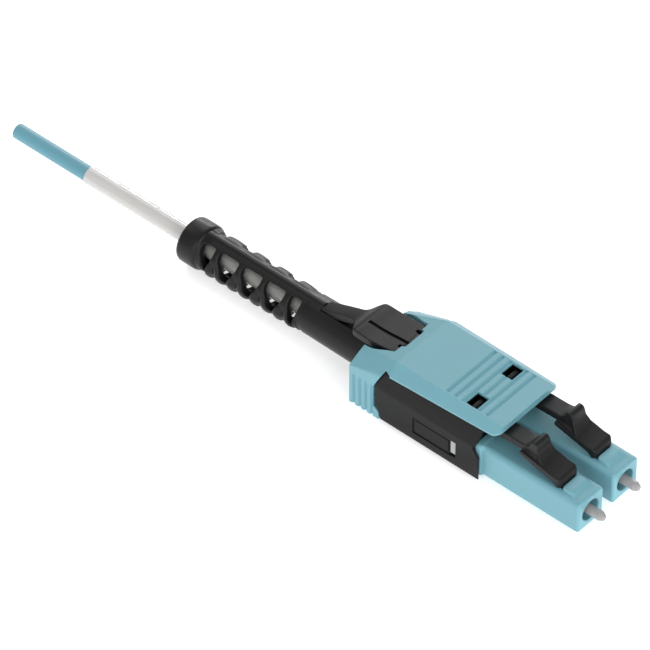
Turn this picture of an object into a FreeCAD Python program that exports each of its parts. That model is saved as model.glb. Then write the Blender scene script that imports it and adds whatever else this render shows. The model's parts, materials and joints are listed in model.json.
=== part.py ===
import FreeCAD, Part
import math
import os
import Sketcher
from FreeCAD import Placement, Rotation, Vector

# Two-fibre push-pull LC plug with one round cable.
# Row frame: +X points out of the ferrules, +Y to the left seen from behind, +Z up.
# The origin lies under the middle of the plug, on the surface that it rests on.
# Stations along the plug are kept as distances behind the ferrule tips, heights as
# distances from the ferrule axis.

doc = FreeCAD.newDocument("push_pull_plug")
sheet = doc.addObject("Spreadsheet::Sheet", "Sizes")


class Size:
    """A number with the expression that ties it to the sheet."""

    def __init__(self, text, value):
        self.text = text
        self.value = float(value)

    def _other(self, o):
        return o if isinstance(o, Size) else Size(repr(float(o)), o)

    def __add__(self, o):
        o = self._other(o)
        return Size("(%s + %s)" % (self.text, o.text), self.value + o.value)

    __radd__ = __add__

    def __sub__(self, o):
        o = self._other(o)
        return Size("(%s - %s)" % (self.text, o.text), self.value - o.value)

    def __rsub__(self, o):
        o = self._other(o)
        return Size("(%s - %s)" % (o.text, self.text), o.value - self.value)

    def __mul__(self, o):
        o = self._other(o)
        return Size("(%s * %s)" % (self.text, o.text), self.value * o.value)

    __rmul__ = __mul__

    def __truediv__(self, o):
        o = self._other(o)
        return Size("(%s / %s)" % (self.text, o.text), self.value / o.value)

    def __neg__(self):
        return Size("(-1 * %s)" % self.text, -self.value)


class Dims:
    pass


D = Dims()
DIMENSIONS = [
    # overall
    ("tip_x", 33.2, "ferrule tips, forward of the origin"),
    ("axis_z", 2.98, "ferrule axis above the surface"),
    ("pitch", 6.25, "between the two ferrule axes"),
    # plug housings
    ("nose_w", 4.52, "nose width and height"),
    ("nose_front", 2.07, "nose face behind the ferrule tips"),
    ("nose_round", 0.35, "nose edge radius"),
    ("flange_front", 15.8, "front of the shoulder"),
    ("flange_rear", 17.2, "rear of the shoulder"),
    ("flange_w", 5.44, "shoulder width"),
    ("flange_tall", 5.06, "shoulder height"),
    ("barrel_rear", 23.7, "rear end of the housing"),
    ("barrel_w", 4.40, "rear part width"),
    ("barrel_tall", 4.20, "rear part height"),
    ("mouth_bore", 1.60, "radius of the mouth around the ferrule"),
    ("mouth_floor", 5.0, "floor of the mouth"),
    ("web_rear", 6.9, "rear of the web behind the mouth"),
    ("web_bore", 0.85, "radius of the hole through the web"),
    ("spring_bore", 1.50, "radius of the spring chamber"),
    ("pivot_back", 5.9, "latch pivot behind the ferrule tips"),
    ("pivot_up", 2.0, "latch pivot above the ferrule axis"),
    ("groove_radius", 0.76, "pivot groove radius"),
    ("roll_radius", 0.68, "pivot roll radius on the latch"),
    ("bump_back", 3.5, "centre of the small rib ahead of the latch"),
    ("bump_long", 1.0, "length of the small rib"),
    ("bump_w", 3.0, "width of the small rib"),
    ("bump_up", 2.5, "top of the small rib"),
    # ferrules and what is behind them
    ("ferrule_radius", 0.625, "ferrule radius"),
    ("ferrule_rear", 9.1, "rear end of the ferrule"),
    ("ferrule_step", 4.95, "front of the ferrule's neck"),
    ("ferrule_neck_rear", 5.6, "rear of the ferrule's neck"),
    ("ferrule_neck", 0.45, "radius of the ferrule's neck"),
    ("ferrule_grip", 0.615, "radius of the ferrule where the flange grips it"),
    ("ferrule_chamfer", 0.12, "ferrule tip chamfer"),
    ("head_front", 7.0, "front of the ferrule flange"),
    ("head_rear", 9.6, "rear of the flange head"),
    ("head_radius", 1.35, "flange head radius"),
    ("stem_rear", 13.7, "rear of the flange stem"),
    ("stem_radius", 0.85, "flange stem radius"),
    ("stem_bore", 0.55, "flange stem bore"),
    ("coil_front", 9.75, "front end of the spring"),
    ("coil_rear", 14.9, "rear end of the spring"),
    ("coil_radius", 1.10, "mean radius of the spring"),
    ("coil_wire", 0.14, "radius of the spring wire"),
    ("coil_turns", 6.0, "number of turns"),
    ("stop_front", 15.05, "front of the spring stop"),
    ("stop_rear", 23.75, "rear face of the spring stop's barrel"),
    ("stop_radius", 1.46, "spring stop radius"),
    ("stop_bore", 0.62, "spring stop bore"),
    ("stop_lip_rear", 24.4, "rear of the spring stop's lip"),
    ("stop_lip_radius", 1.95, "spring stop lip radius"),
    # body
    ("body_half_w", 6.2, "half width of the body"),
    ("body_under", 2.67, "underside below the ferrule axis"),
    ("body_split", 2.34, "joint between base and lid above the axis"),
    ("body_front", 17.25, "front wall face of the body"),
    ("lip_front", 16.4, "front of the thin side lips"),
    ("lip_y", 5.9, "inner face of the side lips"),
    ("body_rear", 32.0, "rear of the wide part"),
    ("neck_rear", 34.0, "rear of the narrow neck"),
    ("neck_half_w", 5.0, "half width of the neck"),
    ("neck_under", 1.7, "underside of the neck below the axis"),
    ("neck_up", 3.5, "top of the neck above the axis"),
    ("pocket_half_w", 2.23, "half width of a housing pocket"),
    ("pocket_under", 2.13, "floor of the pockets below the axis"),
    ("chamber_front", 24.5, "front of the fibre chamber"),
    ("chamber_rear", 31.0, "rear of the fibre chamber"),
    ("chamber_half_w", 4.9, "half width of the fibre chamber"),
    ("chamber_under", 2.0, "floor of the fibre chamber below the axis"),
    ("sight_front", 19.75, "front of the indicator window"),
    ("sight_rear", 20.75, "rear of the indicator window"),
    ("sight_half", 1.2, "half height of the indicator window"),
    # lid
    ("lid_top", 5.35, "top of the lid above the axis"),
    ("lid_half_top", 5.4, "half width of the lid's top"),
    ("lid_slope_front", 30.1, "where the lid's top starts to fall"),
    ("lid_slope_up", 4.7, "lid height at its rear"),
    ("channel_half_w", 1.45, "half width of a latch channel"),
    ("channel_floor", 2.75, "floor of the latch channels above the axis"),
    ("channel_rear", 20.8, "rear end of the latch channels"),
    ("slot_neck", 0.55, "half width of the guide slot's neck"),
    ("slot_foot", 1.1, "half width of the guide slot's foot"),
    ("slot_floor", 4.0, "floor of the guide slot above the axis"),
    ("slot_step", 4.75, "step of the guide slot above the axis"),
    # cover
    ("plate_front", 14.1, "front edge of the cover's plate"),
    ("plate_rear", 30.1, "crease between plate and rear slope"),
    ("plate_up", 6.4, "top of the plate above the axis"),
    ("plate_under", 5.5, "underside of the plate above the axis"),
    ("plate_half_w", 4.5, "half width of the flat top"),
    ("edge_front_half", 5.8, "half width at the front edge"),
    ("edge_front_up", 5.72, "bevel foot height at the front edge"),
    ("block_rear", 36.0, "rear face of the cover"),
    ("block_front", 32.3, "front of the cover's rear block"),
    ("block_under", 2.67, "underside of the rear block below the axis"),
    ("block_top", 4.6, "top of the rear face above the axis"),
    ("block_edge", 3.3, "foot of the rear face's bevel above the axis"),
    ("cavity_rear", 35.1, "rear of the block's cavity"),
    ("cavity_half_w", 5.2, "half width of the block's cavity"),
    ("cavity_under", 2.1, "floor of the block's cavity below the axis"),
    ("cavity_up", 3.75, "roof of the block's cavity above the axis"),
    ("tail_bore", 2.45, "radius of the hole in the rear wall"),
    ("notch_rear_half", 3.46, "half width of the notch at the rear"),
    ("notch_front_half", 3.05, "half width of the notch at its front"),
    ("notch_front", 31.75, "front of the notch"),
    ("window_front", 18.3, "front of a latch window"),
    ("window_rear", 19.7, "rear of a latch window"),
    ("window_half_w", 1.05, "half width of a latch window"),
    ("rib_first", 16.65, "first finger groove"),
    ("rib_step", 1.18, "between finger grooves"),
    ("rib_half", 0.17, "half width of a finger groove"),
    ("rib_deep", 0.16, "depth of a finger groove"),
    ("rib_half_long", 4.3, "half length of a finger groove"),
    ("grip_deep", 0.22, "depth of the side grip grooves"),
    # latch
    ("latch_w", 3.2, "latch width"),
    ("arm_w", 2.3, "latch arm width"),
    ("tooth_w", 1.8, "latch tooth width"),
    ("ridge_up", 6.45, "top of the latch ridge above the axis"),
    ("arm_up", 4.9, "top of the latch tail above the axis"),
    ("arm_under", 4.2, "underside of the latch tail above the axis"),
    ("tooth_front", 18.8, "foot of the tooth's ramp"),
    ("tooth_crest", 19.15, "top of the tooth's ramp"),
    ("tooth_rear", 19.55, "rear of the tooth"),
    ("tooth_up", 5.75, "top of the tooth above the axis"),
    # boot
    ("boot_rear", 66.4, "rear face of the boot"),
    ("collar_front", 63.6, "front of the boot's collar"),
    ("collar_radius", 2.98, "collar radius"),
    ("mesh_rear", 62.5, "rear of the open lattice"),
    ("mesh_radius", 2.5, "lattice outer radius"),
    ("mesh_bore", 1.75, "lattice bore radius"),
    ("collar_bore", 1.30, "bore of the collar"),
    ("mesh_front", 47.0, "front of the open lattice"),
    ("tube_radius", 2.62, "radius of the solid part at the cover"),
    ("tube_step", 2.35, "radius of the boot inside the cover's rear wall"),
    ("tube_bore", 2.05, "bore of the solid part"),
    ("tube_bore_rear", 43.0, "rear end of the wide bore"),
    ("plug_plate_rear", 35.05, "rear of the boot's front plate"),
    ("plug_plate_front", 34.25, "front of the boot's front plate"),
    ("slot_pitch", 3.67, "between lattice slots on one side"),
    ("slot_start", 50.8, "first full slot on the right side"),
    ("slot_wide", 1.25, "half length of a slot at its top"),
    ("slot_narrow", 0.45, "half length of a slot at its bottom"),
    ("slot_top", 1.75, "top of a slot above the axis"),
    ("spine_half", 0.62, "half width of the spine on top"),
    ("spine_up", 2.78, "top of the spine above the axis"),
    ("spine_front", 45.0, "front end of the spine"),
    ("spine_rear", 64.4, "rear end of the spine"),
    # release button
    ("button_hinge", 44.2, "root of the release button"),
    ("button_hinge_up", 2.75, "height of its hinge line above the axis"),
    ("button_half", 2.9, "half width of the thumb pad"),
    ("button_root_half", 1.75, "half width at the root"),
    ("button_front", 32.3, "front of the thumb pad"),
    ("button_up", 5.5, "front of the thumb pad above the axis"),
    # cable end
    ("post_head_front", 30.2, "front of the crimp post"),
    ("post_head_radius", 2.0, "radius of the crimp post's head"),
    ("post_radius", 1.5, "radius of the crimp post"),
    ("post_bore", 0.98, "bore of the crimp post"),
    ("post_rear", 41.0, "rear end of the crimp post"),
    ("yarn_radius", 1.62, "outer radius of the strength yarn on the post"),
    ("ring_radius", 1.95, "crimp ring radius"),
    ("ring_front", 35.2, "front of the crimp ring"),
    ("ring_rear", 40.4, "rear of the crimp ring"),
    ("fibre_radius", 0.45, "buffered fibre radius"),
    ("fibre_front", 10.1, "front end of a buffered fibre"),
    ("fibre_bend_front", 25.7, "where a fibre starts to turn in"),
    ("fibre_bend_rear", 28.4, "where a fibre is straight again"),
    ("fibre_close", 0.49, "distance of a fibre from the middle in the cable"),
    ("jacket_radius", 1.0, "cable jacket radius"),
    ("jacket_rear", 95.0, "cut end of the cable"),
    ("sleeve_radius", 1.15, "white tube radius"),
    ("sleeve_bore", 1.03, "white tube bore radius"),
    ("sleeve_front", 43.4, "front end of the white tube"),
    ("sleeve_rear", 83.1, "rear end of the white tube"),
    # polarity indicator
    ("flag_half_w", 0.42, "half length of the indicator bar"),
    ("flag_half", 1.0, "half height of the indicator bar"),
]
for row, (name, value, note) in enumerate(DIMENSIONS, start=1):
    sheet.set("A%d" % row, name)
    sheet.set("B%d" % row, str(value))
    sheet.set("C%d" % row, note)
    sheet.setAlias("B%d" % row, name)
    setattr(D, name, Size("Sizes." + name, value))
doc.recompute()

made = []  # the sub-parts, in order


def at(back):
    """Row X of a station behind the ferrule tips."""
    return D.tip_x - back


def up(height):
    """Row Z of a height above the ferrule axis."""
    return D.axis_z + height


def bind(obj, prop, size):
    if isinstance(size, Size):
        obj.setExpression(prop, size.text)


def number(size):
    return size.value if isinstance(size, Size) else float(size)


def body(name):
    b = doc.addObject("PartDesign::Body", name)
    b.Label = name
    made.append(b)
    return b


def plane(b, role):
    return next(f for f in b.Origin.OriginFeatures if f.Role == role)


def sketch(b, role, offset=0.0, rise=None):
    """A sketch on one of the body's own planes, moved along the plane's normal."""
    s = b.newObject("Sketcher::SketchObject", b.Label + "_sketch")
    s.AttachmentSupport = [(plane(b, role), "")]
    s.MapMode = "FlatFace"
    # the normal of XZ_Plane points along -Y
    shift = -offset if role == "XZ_Plane" else offset
    s.AttachmentOffset = Placement(
        Vector(0, number(rise) if rise is not None else 0, number(shift)), Rotation()
    )
    bind(s, "AttachmentOffset.Base.z", shift)
    if rise is not None:
        bind(s, "AttachmentOffset.Base.y", rise)
    return s


def hold(s, geo, point, along, size):
    """Ties one coordinate of a point to its expression."""
    value = number(size)
    if abs(value) < 1e-9:
        s.addConstraint(
            Sketcher.Constraint("PointOnObject", geo, point, -2 if along == "X" else -1)
        )
        return
    c = s.addConstraint(
        Sketcher.Constraint("Distance" + along, -1, 1, geo, point, value)
    )
    if isinstance(size, Size):
        s.setExpression("Constraints[%d]" % c, size.text)


def outline(s, points):
    """A closed outline of straight lines, each corner tied to the sheet."""
    first = s.GeometryCount
    n = len(points)
    vs = [Vector(number(a), number(c), 0) for a, c in points]
    for i in range(n):
        s.addGeometry(Part.LineSegment(vs[i], vs[(i + 1) % n]), False)
    for i in range(n):
        s.addConstraint(
            Sketcher.Constraint("Coincident", first + i, 2, first + (i + 1) % n, 1)
        )
    for i, (a, c) in enumerate(points):
        hold(s, first + i, 1, "X", a)
        hold(s, first + i, 1, "Y", c)


def ring(s, a, c, radius):
    g = s.GeometryCount
    s.addGeometry(
        Part.Circle(Vector(number(a), number(c), 0), Vector(0, 0, 1), number(radius)),
        False,
    )
    hold(s, g, 3, "X", a)
    hold(s, g, 3, "Y", c)
    k = s.addConstraint(Sketcher.Constraint("Radius", g, number(radius)))
    bind(s, "Constraints[%d]" % k, radius)


def fill(s, shapes):
    for shape in shapes:
        if shape[0] == "ring":
            ring(s, *shape[1:])
        else:
            outline(s, shape)


def pad(b, role, low, high, *shapes):
    """Adds the outline between two stations along the plane's axis."""
    s = sketch(b, role, high if role == "XZ_Plane" else low)
    fill(s, shapes)
    p = b.newObject("PartDesign::Pad", b.Label + "_pad")
    p.Profile = s
    p.Length = number(high - low)
    bind(p, "Length", high - low)
    doc.recompute()
    return p


def cut(b, role, low, high, *shapes):
    """Removes the outline between two stations, and checks that something went."""
    before = b.Shape.Volume
    s = sketch(b, role, high if role == "XZ_Plane" else low)
    fill(s, shapes)
    p = b.newObject("PartDesign::Pocket", b.Label + "_pocket")
    p.Profile = s
    p.Reversed = True
    p.Length = number(high - low)
    bind(p, "Length", high - low)
    doc.recompute()
    if not b.Shape.Volume < before - 1e-6:
        raise SystemExit("a pocket in %s removes nothing" % b.Label)
    return p


def turn(b, y, points):
    """A turned piece about a line along X at Y = y and the height of the axis."""
    s = sketch(b, "XZ_Plane", y, D.axis_z)
    outline(s, points)
    r = b.newObject("PartDesign::Revolution", b.Label + "_turned")
    r.Profile = s
    r.ReferenceAxis = (s, ["H_Axis"])
    r.Angle = 360
    doc.recompute()
    return r


def loft(b, sections):
    """A straight loft between outlines that stand across the X axis."""
    made_sketches = []
    for x, points in sections:
        s = sketch(b, "YZ_Plane", x)
        outline(s, points)
        made_sketches.append(s)
    doc.recompute()
    f = b.newObject("PartDesign::AdditiveLoft", b.Label + "_loft")
    f.Profile = made_sketches[0]
    f.Sections = made_sketches[1:]
    f.Ruled = True
    doc.recompute()
    return f


def soften(b, radius, wanted, kind="Fillet"):
    """Rounds or chamfers the edges of the body's last feature that the test picks."""
    tip = b.Tip
    names = [
        "Edge%d" % (i + 1) for i, e in enumerate(tip.Shape.Edges) if wanted(e.BoundBox)
    ]
    if not names:
        raise SystemExit("no edge to soften in %s" % b.Label)
    f = b.newObject("PartDesign::" + kind, b.Label + "_soft")
    f.Base = (tip, names)
    prop = "Radius" if kind == "Fillet" else "Size"
    setattr(f, prop, number(radius))
    bind(f, prop, radius)
    doc.recompute()
    if "Invalid" in f.State or "Error" in f.State or f.Shape.isNull():
        raise SystemExit("a softened edge failed in %s" % b.Label)
    return f


def near(a, c, tol=0.02):
    return abs(a - number(c)) < tol


def box4(a0, a1, c0, c1):
    return [(a0, c0), (a1, c0), (a1, c1), (a0, c1)]


SIDES = (("left", 1.0), ("right", -1.0))

for side, sign in SIDES:
    y0 = D.pitch * (0.5 * sign)

    # ---- plug housing: square nose, shoulder, and the part held in the body
    h = body("plug_housing_" + side)
    half = D.nose_w / 2
    pad(h, "YZ_Plane", at(D.flange_front), at(D.nose_front),
        box4(y0 - half, y0 + half, up(-half), up(half)))
    soften(h, D.nose_round, lambda bb: bb.XLength > 5)
    pad(h, "XZ_Plane", y0 - D.bump_w / 2, y0 + D.bump_w / 2,
        [(at(D.bump_back + D.bump_long / 2), up(half - 0.2)),
         (at(D.bump_back - D.bump_long / 2), up(half - 0.2)),
         (at(D.bump_back - D.bump_long / 4), up(D.bump_up)),
         (at(D.bump_back + D.bump_long / 4), up(D.bump_up))])
    pad(h, "YZ_Plane", at(D.flange_rear), at(D.flange_front),
        box4(y0 - D.flange_w / 2, y0 + D.flange_w / 2,
             up(-D.flange_tall / 2), up(D.flange_tall / 2)))
    pad(h, "YZ_Plane", at(D.barrel_rear), at(D.flange_rear),
        box4(y0 - D.barrel_w / 2, y0 + D.barrel_w / 2,
             up(-D.barrel_tall / 2), up(D.barrel_tall / 2)))
    cut(h, "YZ_Plane", at(D.mouth_floor), at(D.nose_front - 0.5),
        ("ring", y0, D.axis_z, D.mouth_bore))
    cut(h, "YZ_Plane", at(D.web_rear + 0.1), at(D.mouth_floor - 0.1),
        ("ring", y0, D.axis_z, D.web_bore))
    cut(h, "YZ_Plane", at(D.barrel_rear + 0.5), at(D.web_rear),
        ("ring", y0, D.axis_z, D.spring_bore))
    cut(h, "XZ_Plane", y0 - D.nose_w, y0 + D.nose_w,
        ("ring", at(D.pivot_back), up(D.pivot_up), D.groove_radius))

    # ---- ferrule with a chamfered tip and a short neck inside the web
    f = body("ferrule_" + side)
    turn(f, y0, [
        (at(D.ferrule_rear), 0), (at(0.0), 0),
        (at(0.0), D.ferrule_radius - D.ferrule_chamfer),
        (at(D.ferrule_chamfer), D.ferrule_radius),
        (at(D.ferrule_step), D.ferrule_radius), (at(D.ferrule_step), D.ferrule_neck),
        (at(D.ferrule_neck_rear), D.ferrule_neck), (at(D.ferrule_neck_rear), D.ferrule_grip),
        (at(D.ferrule_rear), D.ferrule_grip)])

    # ---- flange that grips the ferrule, with a hollow stem
    g = body("ferrule_flange_" + side)
    turn(g, y0, [
        (at(D.stem_rear), D.stem_bore), (at(D.ferrule_rear), D.stem_bore),
        (at(D.ferrule_rear), D.ferrule_grip), (at(D.head_front), D.ferrule_grip),
        (at(D.head_front), D.head_radius - 0.35),
        (at(D.head_front + 0.5), D.head_radius),
        (at(D.head_rear), D.head_radius), (at(D.head_rear), D.stem_radius),
        (at(D.stem_rear), D.stem_radius)])

    # ---- spring stop that closes the housing from behind
    k = body("spring_stop_" + side)
    turn(k, y0, [
        (at(D.stop_lip_rear), D.stop_bore), (at(D.stop_front), D.stop_bore),
        (at(D.stop_front), D.stop_radius), (at(D.stop_rear), D.stop_radius),
        (at(D.stop_rear), D.stop_lip_radius), (at(D.stop_lip_rear), D.stop_lip_radius)])

    # ---- compression spring: one wire wound about the ferrule axis
    turns = D.coil_turns.value
    long = D.coil_rear.value - D.coil_front.value - 2 * D.coil_wire.value
    step = long / turns
    line = Part.makeHelix(step, long, D.coil_radius.value)
    wire = Part.Wire(line.Edges)
    start = Vector(D.coil_radius.value, 0, 0)
    along = Vector(0, D.coil_radius.value * 2 * math.pi, step)
    disc = Part.Wire([Part.makeCircle(D.coil_wire.value, start, along)])
    coil = Part.BRepOffsetAPI.MakePipeShell(wire)
    coil.setFrenetMode(True)
    coil.add(disc)
    coil.build()
    coil.makeSolid()
    sp = doc.addObject("Part::Feature", "ferrule_spring_" + side)
    sp.Label = "ferrule_spring_" + side
    sp.Shape = coil.shape()
    sp.Placement = Placement(
        Vector(D.tip_x.value - D.coil_rear.value + D.coil_wire.value,
               y0.value, D.axis_z.value),
        Rotation(Vector(0, 1, 0), 90))
    made.append(sp)

    # ---- buffered fibre: straight behind the ferrule, then in towards the cable
    pts = [
        Vector(D.tip_x.value - D.fibre_front.value, y0.value, D.axis_z.value),
        Vector(D.tip_x.value - D.fibre_bend_front.value, y0.value, D.axis_z.value),
        Vector(D.tip_x.value - D.fibre_bend_rear.value,
               sign * D.fibre_close.value, D.axis_z.value),
        Vector(D.tip_x.value - D.post_rear.value + 0.05,
               sign * D.fibre_close.value, D.axis_z.value),
    ]
    edges, last = [], pts[0]
    for i in (1, 2):
        a, p, c = pts[i - 1], pts[i], pts[i + 1]
        u = (a - p).normalize()
        w = (c - p).normalize()
        bend = math.pi - u.getAngle(w)
        radius = 0.45 * (pts[2] - pts[1]).Length / math.tan(bend / 2)
        reach = radius * math.tan(bend / 2)
        t0, t1 = p + u * reach, p + w * reach
        mid = p + (u + w).normalize() * (radius / math.cos(bend / 2) - radius)
        edges.append(Part.LineSegment(last, t0).toShape())
        edges.append(Part.Arc(t0, mid, t1).toShape())
        last = t1
    edges.append(Part.LineSegment(last, pts[3]).toShape())
    path = Part.Wire(edges)
    disc = Part.Wire([Part.makeCircle(D.fibre_radius.value, pts[0], Vector(1, 0, 0))])
    tube = path.makePipeShell([disc], True, True)
    if abs(tube.Volume / (math.pi * D.fibre_radius.value ** 2 * path.Length) - 1) > 0.02:
        raise SystemExit("the fibre's volume doesn't match its path")
    fb = doc.addObject("Part::Feature", "fibre_" + side)
    fb.Label = "fibre_" + side
    fb.Shape = tube
    made.append(fb)

    # ---- latch: pivot roll at the front, two lugs, a thumb ridge, a tail with a tooth
    t = body("latch_" + side)
    w = D.latch_w / 2
    pad(t, "XZ_Plane", y0 - w, y0 + w,
        [(at(5.35), up(2.35)), (at(5.15), up(2.95)), (at(7.1), up(3.05)),
         (at(8.1), up(4.55)), (at(9.5), up(5.05)), (at(11.2), up(4.95)),
         (at(11.2), up(4.35)), (at(9.6), up(4.05)), (at(8.7), up(3.45)),
         (at(7.3), up(2.62)), (at(6.5), up(2.5))])
    pad(t, "XZ_Plane", y0 - w, y0 + w,
        ("ring", at(D.pivot_back), up(D.pivot_up), D.roll_radius))
    a = D.arm_w / 2
    pad(t, "XZ_Plane", y0 - a, y0 + a,
        [(at(8.3), up(4.3)), (at(8.6), up(4.85)), (at(9.3), up(5.2)),
         (at(9.45), up(D.ridge_up - 0.3)), (at(9.75), up(D.ridge_up)),
         (at(10.5), up(D.ridge_up)), (at(11.0), up(5.5)),
         (at(12.4), up(5.05)), (at(14.0), up(D.arm_up)),
         (at(D.tooth_rear), up(D.arm_up)), (at(D.tooth_rear), up(D.arm_under)),
         (at(11.4), up(D.arm_under + 0.1)), (at(9.8), up(4.1))])
    tw = D.tooth_w / 2
    pad(t, "XZ_Plane", y0 - tw, y0 + tw,
        [(at(D.tooth_front), up(D.arm_under + 0.3)), (at(D.tooth_rear), up(D.arm_under + 0.3)),
         (at(D.tooth_rear), up(D.tooth_up)), (at(D.tooth_crest), up(D.tooth_up)),
         (at(D.tooth_front - 0.55), up(D.arm_up))])
    # front corners cut away in plan
    for s2 in (1.0, -1.0):
        edge = y0 + w * s2
        inner = y0 + (w - 0.75) * s2
        far = y0 + (w + 0.5) * s2
        cut(t, "XY_Plane", up(2.15), up(3.6),
            [(at(4.4), inner), (at(5.15), inner), (at(6.0), edge), (at(6.0), far),
             (at(4.4), far)])

# ---- body base: tray with two housing pockets, a fibre chamber and a neck
base = body("body_base")
bw = D.body_half_w
pad(base, "YZ_Plane", at(D.body_rear), at(D.body_front),
    box4(-bw, bw, up(-D.body_under), up(D.body_split)))
soften(base, 0.35, lambda bb: bb.XLength > 5 and near(bb.ZMin, D.axis_z - D.body_under), "Chamfer")
pad(base, "YZ_Plane", at(D.neck_rear), at(D.body_rear),
    box4(-D.neck_half_w, D.neck_half_w, up(-D.neck_under), up(D.body_split)))
for s2 in (1.0, -1.0):
    y = (D.lip_y + bw) / 2 * s2
    hw = (bw - D.lip_y) / 2
    pad(base, "XZ_Plane", y - hw, y + hw,
        [(at(D.body_front), up(-D.body_under + 0.35)), (at(D.lip_front), up(-D.body_under + 0.35)),
         (at(D.lip_front), up(-0.4)), (at(D.body_front), up(0.9))])
for s2 in (1.0, -1.0):
    y0 = D.pitch * (0.5 * s2)
    cut(base, "YZ_Plane", at(D.chamber_front), at(D.body_front - 0.5),
        box4(y0 - D.pocket_half_w, y0 + D.pocket_half_w, up(-D.pocket_under), up(D.body_split + 0.5)))
cut(base, "YZ_Plane", at(D.chamber_rear), at(D.chamber_front - 0.05),
    box4(-D.chamber_half_w, D.chamber_half_w, up(-D.chamber_under), up(D.body_split + 0.5)))
cut(base, "YZ_Plane", at(D.neck_rear + 0.5), at(D.chamber_rear - 0.5),
    box4(-(D.post_radius + 0.02), D.post_radius + 0.02, D.axis_z, up(D.body_split + 0.5)),
    )
cut(base, "YZ_Plane", at(D.neck_rear + 0.5), at(D.chamber_rear - 0.5),
    ("ring", 0, D.axis_z, D.post_radius + 0.02))
cut(base, "XZ_Plane", -bw - 0.5, bw + 0.5,
    box4(at(D.sight_rear), at(D.sight_front), up(-D.sight_half), up(D.sight_half)))

# ---- polarity indicators: a pale bar behind each window
for side, sign in SIDES:
    flag = body("polarity_indicator_" + side)
    inner = (D.pitch / 2 + D.barrel_w / 2 + 0.08) * sign
    outer = (bw - 0.25) * sign
    low, high = (inner, outer) if sign > 0 else (outer, inner)
    pad(flag, "YZ_Plane", at((D.sight_front + D.sight_rear) / 2 + D.flag_half_w),
        at((D.sight_front + D.sight_rear) / 2 - D.flag_half_w),
        box4(low, high, up(-D.flag_half), up(D.flag_half)))

# ---- body lid: closes the tray, with latch channels and the cover's guide slot
lid = body("body_lid")
pad(lid, "YZ_Plane", at(D.body_rear), at(D.body_front),
    [(-bw, up(D.body_split)), (bw, up(D.body_split)),
     (D.lid_half_top, up(D.lid_top)), (-D.lid_half_top, up(D.lid_top))])
pad(lid, "YZ_Plane", at(D.neck_rear), at(D.body_rear),
    box4(-D.neck_half_w, D.neck_half_w, up(D.body_split), up(D.neck_up)))
cut(lid, "XZ_Plane", -bw - 0.5, bw + 0.5,
    [(at(D.lid_slope_front), up(D.lid_top)), (at(D.lid_slope_front), up(D.lid_top + 1.0)),
     (at(D.body_rear + 0.1), up(D.lid_top + 1.0)), (at(D.body_rear + 0.1), up(D.lid_slope_up))])
# its rear corners clear the slanted edge of the cover's side openings
for s2 in (1.0, -1.0):
    mid = Size("1", 1) * (6.02 * s2)
    cut(lid, "XZ_Plane", mid - 0.5, mid + 0.5,
        [(at(30.75), up(5.6)), (at(30.75), up(5.2)), (at(32.05), up(2.5)),
         (at(32.1), up(2.3)), (at(32.3), up(2.3)), (at(32.3), up(5.6))])
for s2 in (1.0, -1.0):
    y0 = D.pitch * (0.5 * s2)
    cut(lid, "YZ_Plane", at(D.channel_rear), at(D.body_front - 0.5),
        box4(y0 - D.channel_half_w, y0 + D.channel_half_w, up(D.channel_floor), up(D.lid_top + 0.5)))
cut(lid, "YZ_Plane", at(D.body_rear + 0.5), at(D.body_front - 0.5),
    [(-D.slot_foot, up(D.slot_floor)), (D.slot_foot, up(D.slot_floor)),
     (D.slot_foot, up(D.slot_step)), (D.slot_neck, up(D.slot_step)),
     (D.slot_neck, up(D.lid_top + 0.5)), (-D.slot_neck, up(D.lid_top + 0.5)),
     (-D.slot_neck, up(D.slot_step)), (-D.slot_foot, up(D.slot_step))])

# ---- outer cover: plate, rear slope and rear block in one moulding
cover = body("outer_cover")
pw = D.plate_half_w


def plate_section(half_w, foot_low, foot_up, crest_half, crest, inner, under):
    return [(-inner, up(under)), (-half_w, up(foot_low)), (-half_w, up(foot_up)),
            (-crest_half, up(crest)), (crest_half, up(crest)), (half_w, up(foot_up)),
            (half_w, up(foot_low)), (inner, up(under))]


loft(cover, [
    (at(D.plate_rear), plate_section(bw, 5.2, 5.45, pw, D.plate_up, 5.62, D.plate_under)),
    (at(D.plate_front), plate_section(D.edge_front_half, 5.48, D.edge_front_up, pw,
                                      D.plate_up, 5.5, D.plate_under)),
])
loft(cover, [
    (at(D.block_rear), [(-bw, up(-D.block_under)), (-bw, up(D.block_edge)),
                        (-4.7, up(D.block_top)), (4.7, up(D.block_top)),
                        (bw, up(D.block_edge)), (bw, up(-D.block_under))]),
    (at(D.plate_rear), [(-bw, up(-D.block_under)), (-bw, up(5.45)),
                        (-pw, up(D.plate_up)), (pw, up(D.plate_up)),
                        (bw, up(5.45)), (bw, up(-D.block_under))]),
])
# the inside in front of the block, under the sloping roof
cut(cover, "XZ_Plane", -5.62 * Size("1", 1), Size("1", 1) * 5.62,
    [(at(D.block_front), up(-4.0)), (at(D.plate_rear - 0.02), up(-4.0)),
     (at(D.plate_rear - 0.02), up(D.plate_under)), (at(D.plate_rear), up(D.plate_under)),
     (at(D.block_front), up(4.85))])
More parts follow.
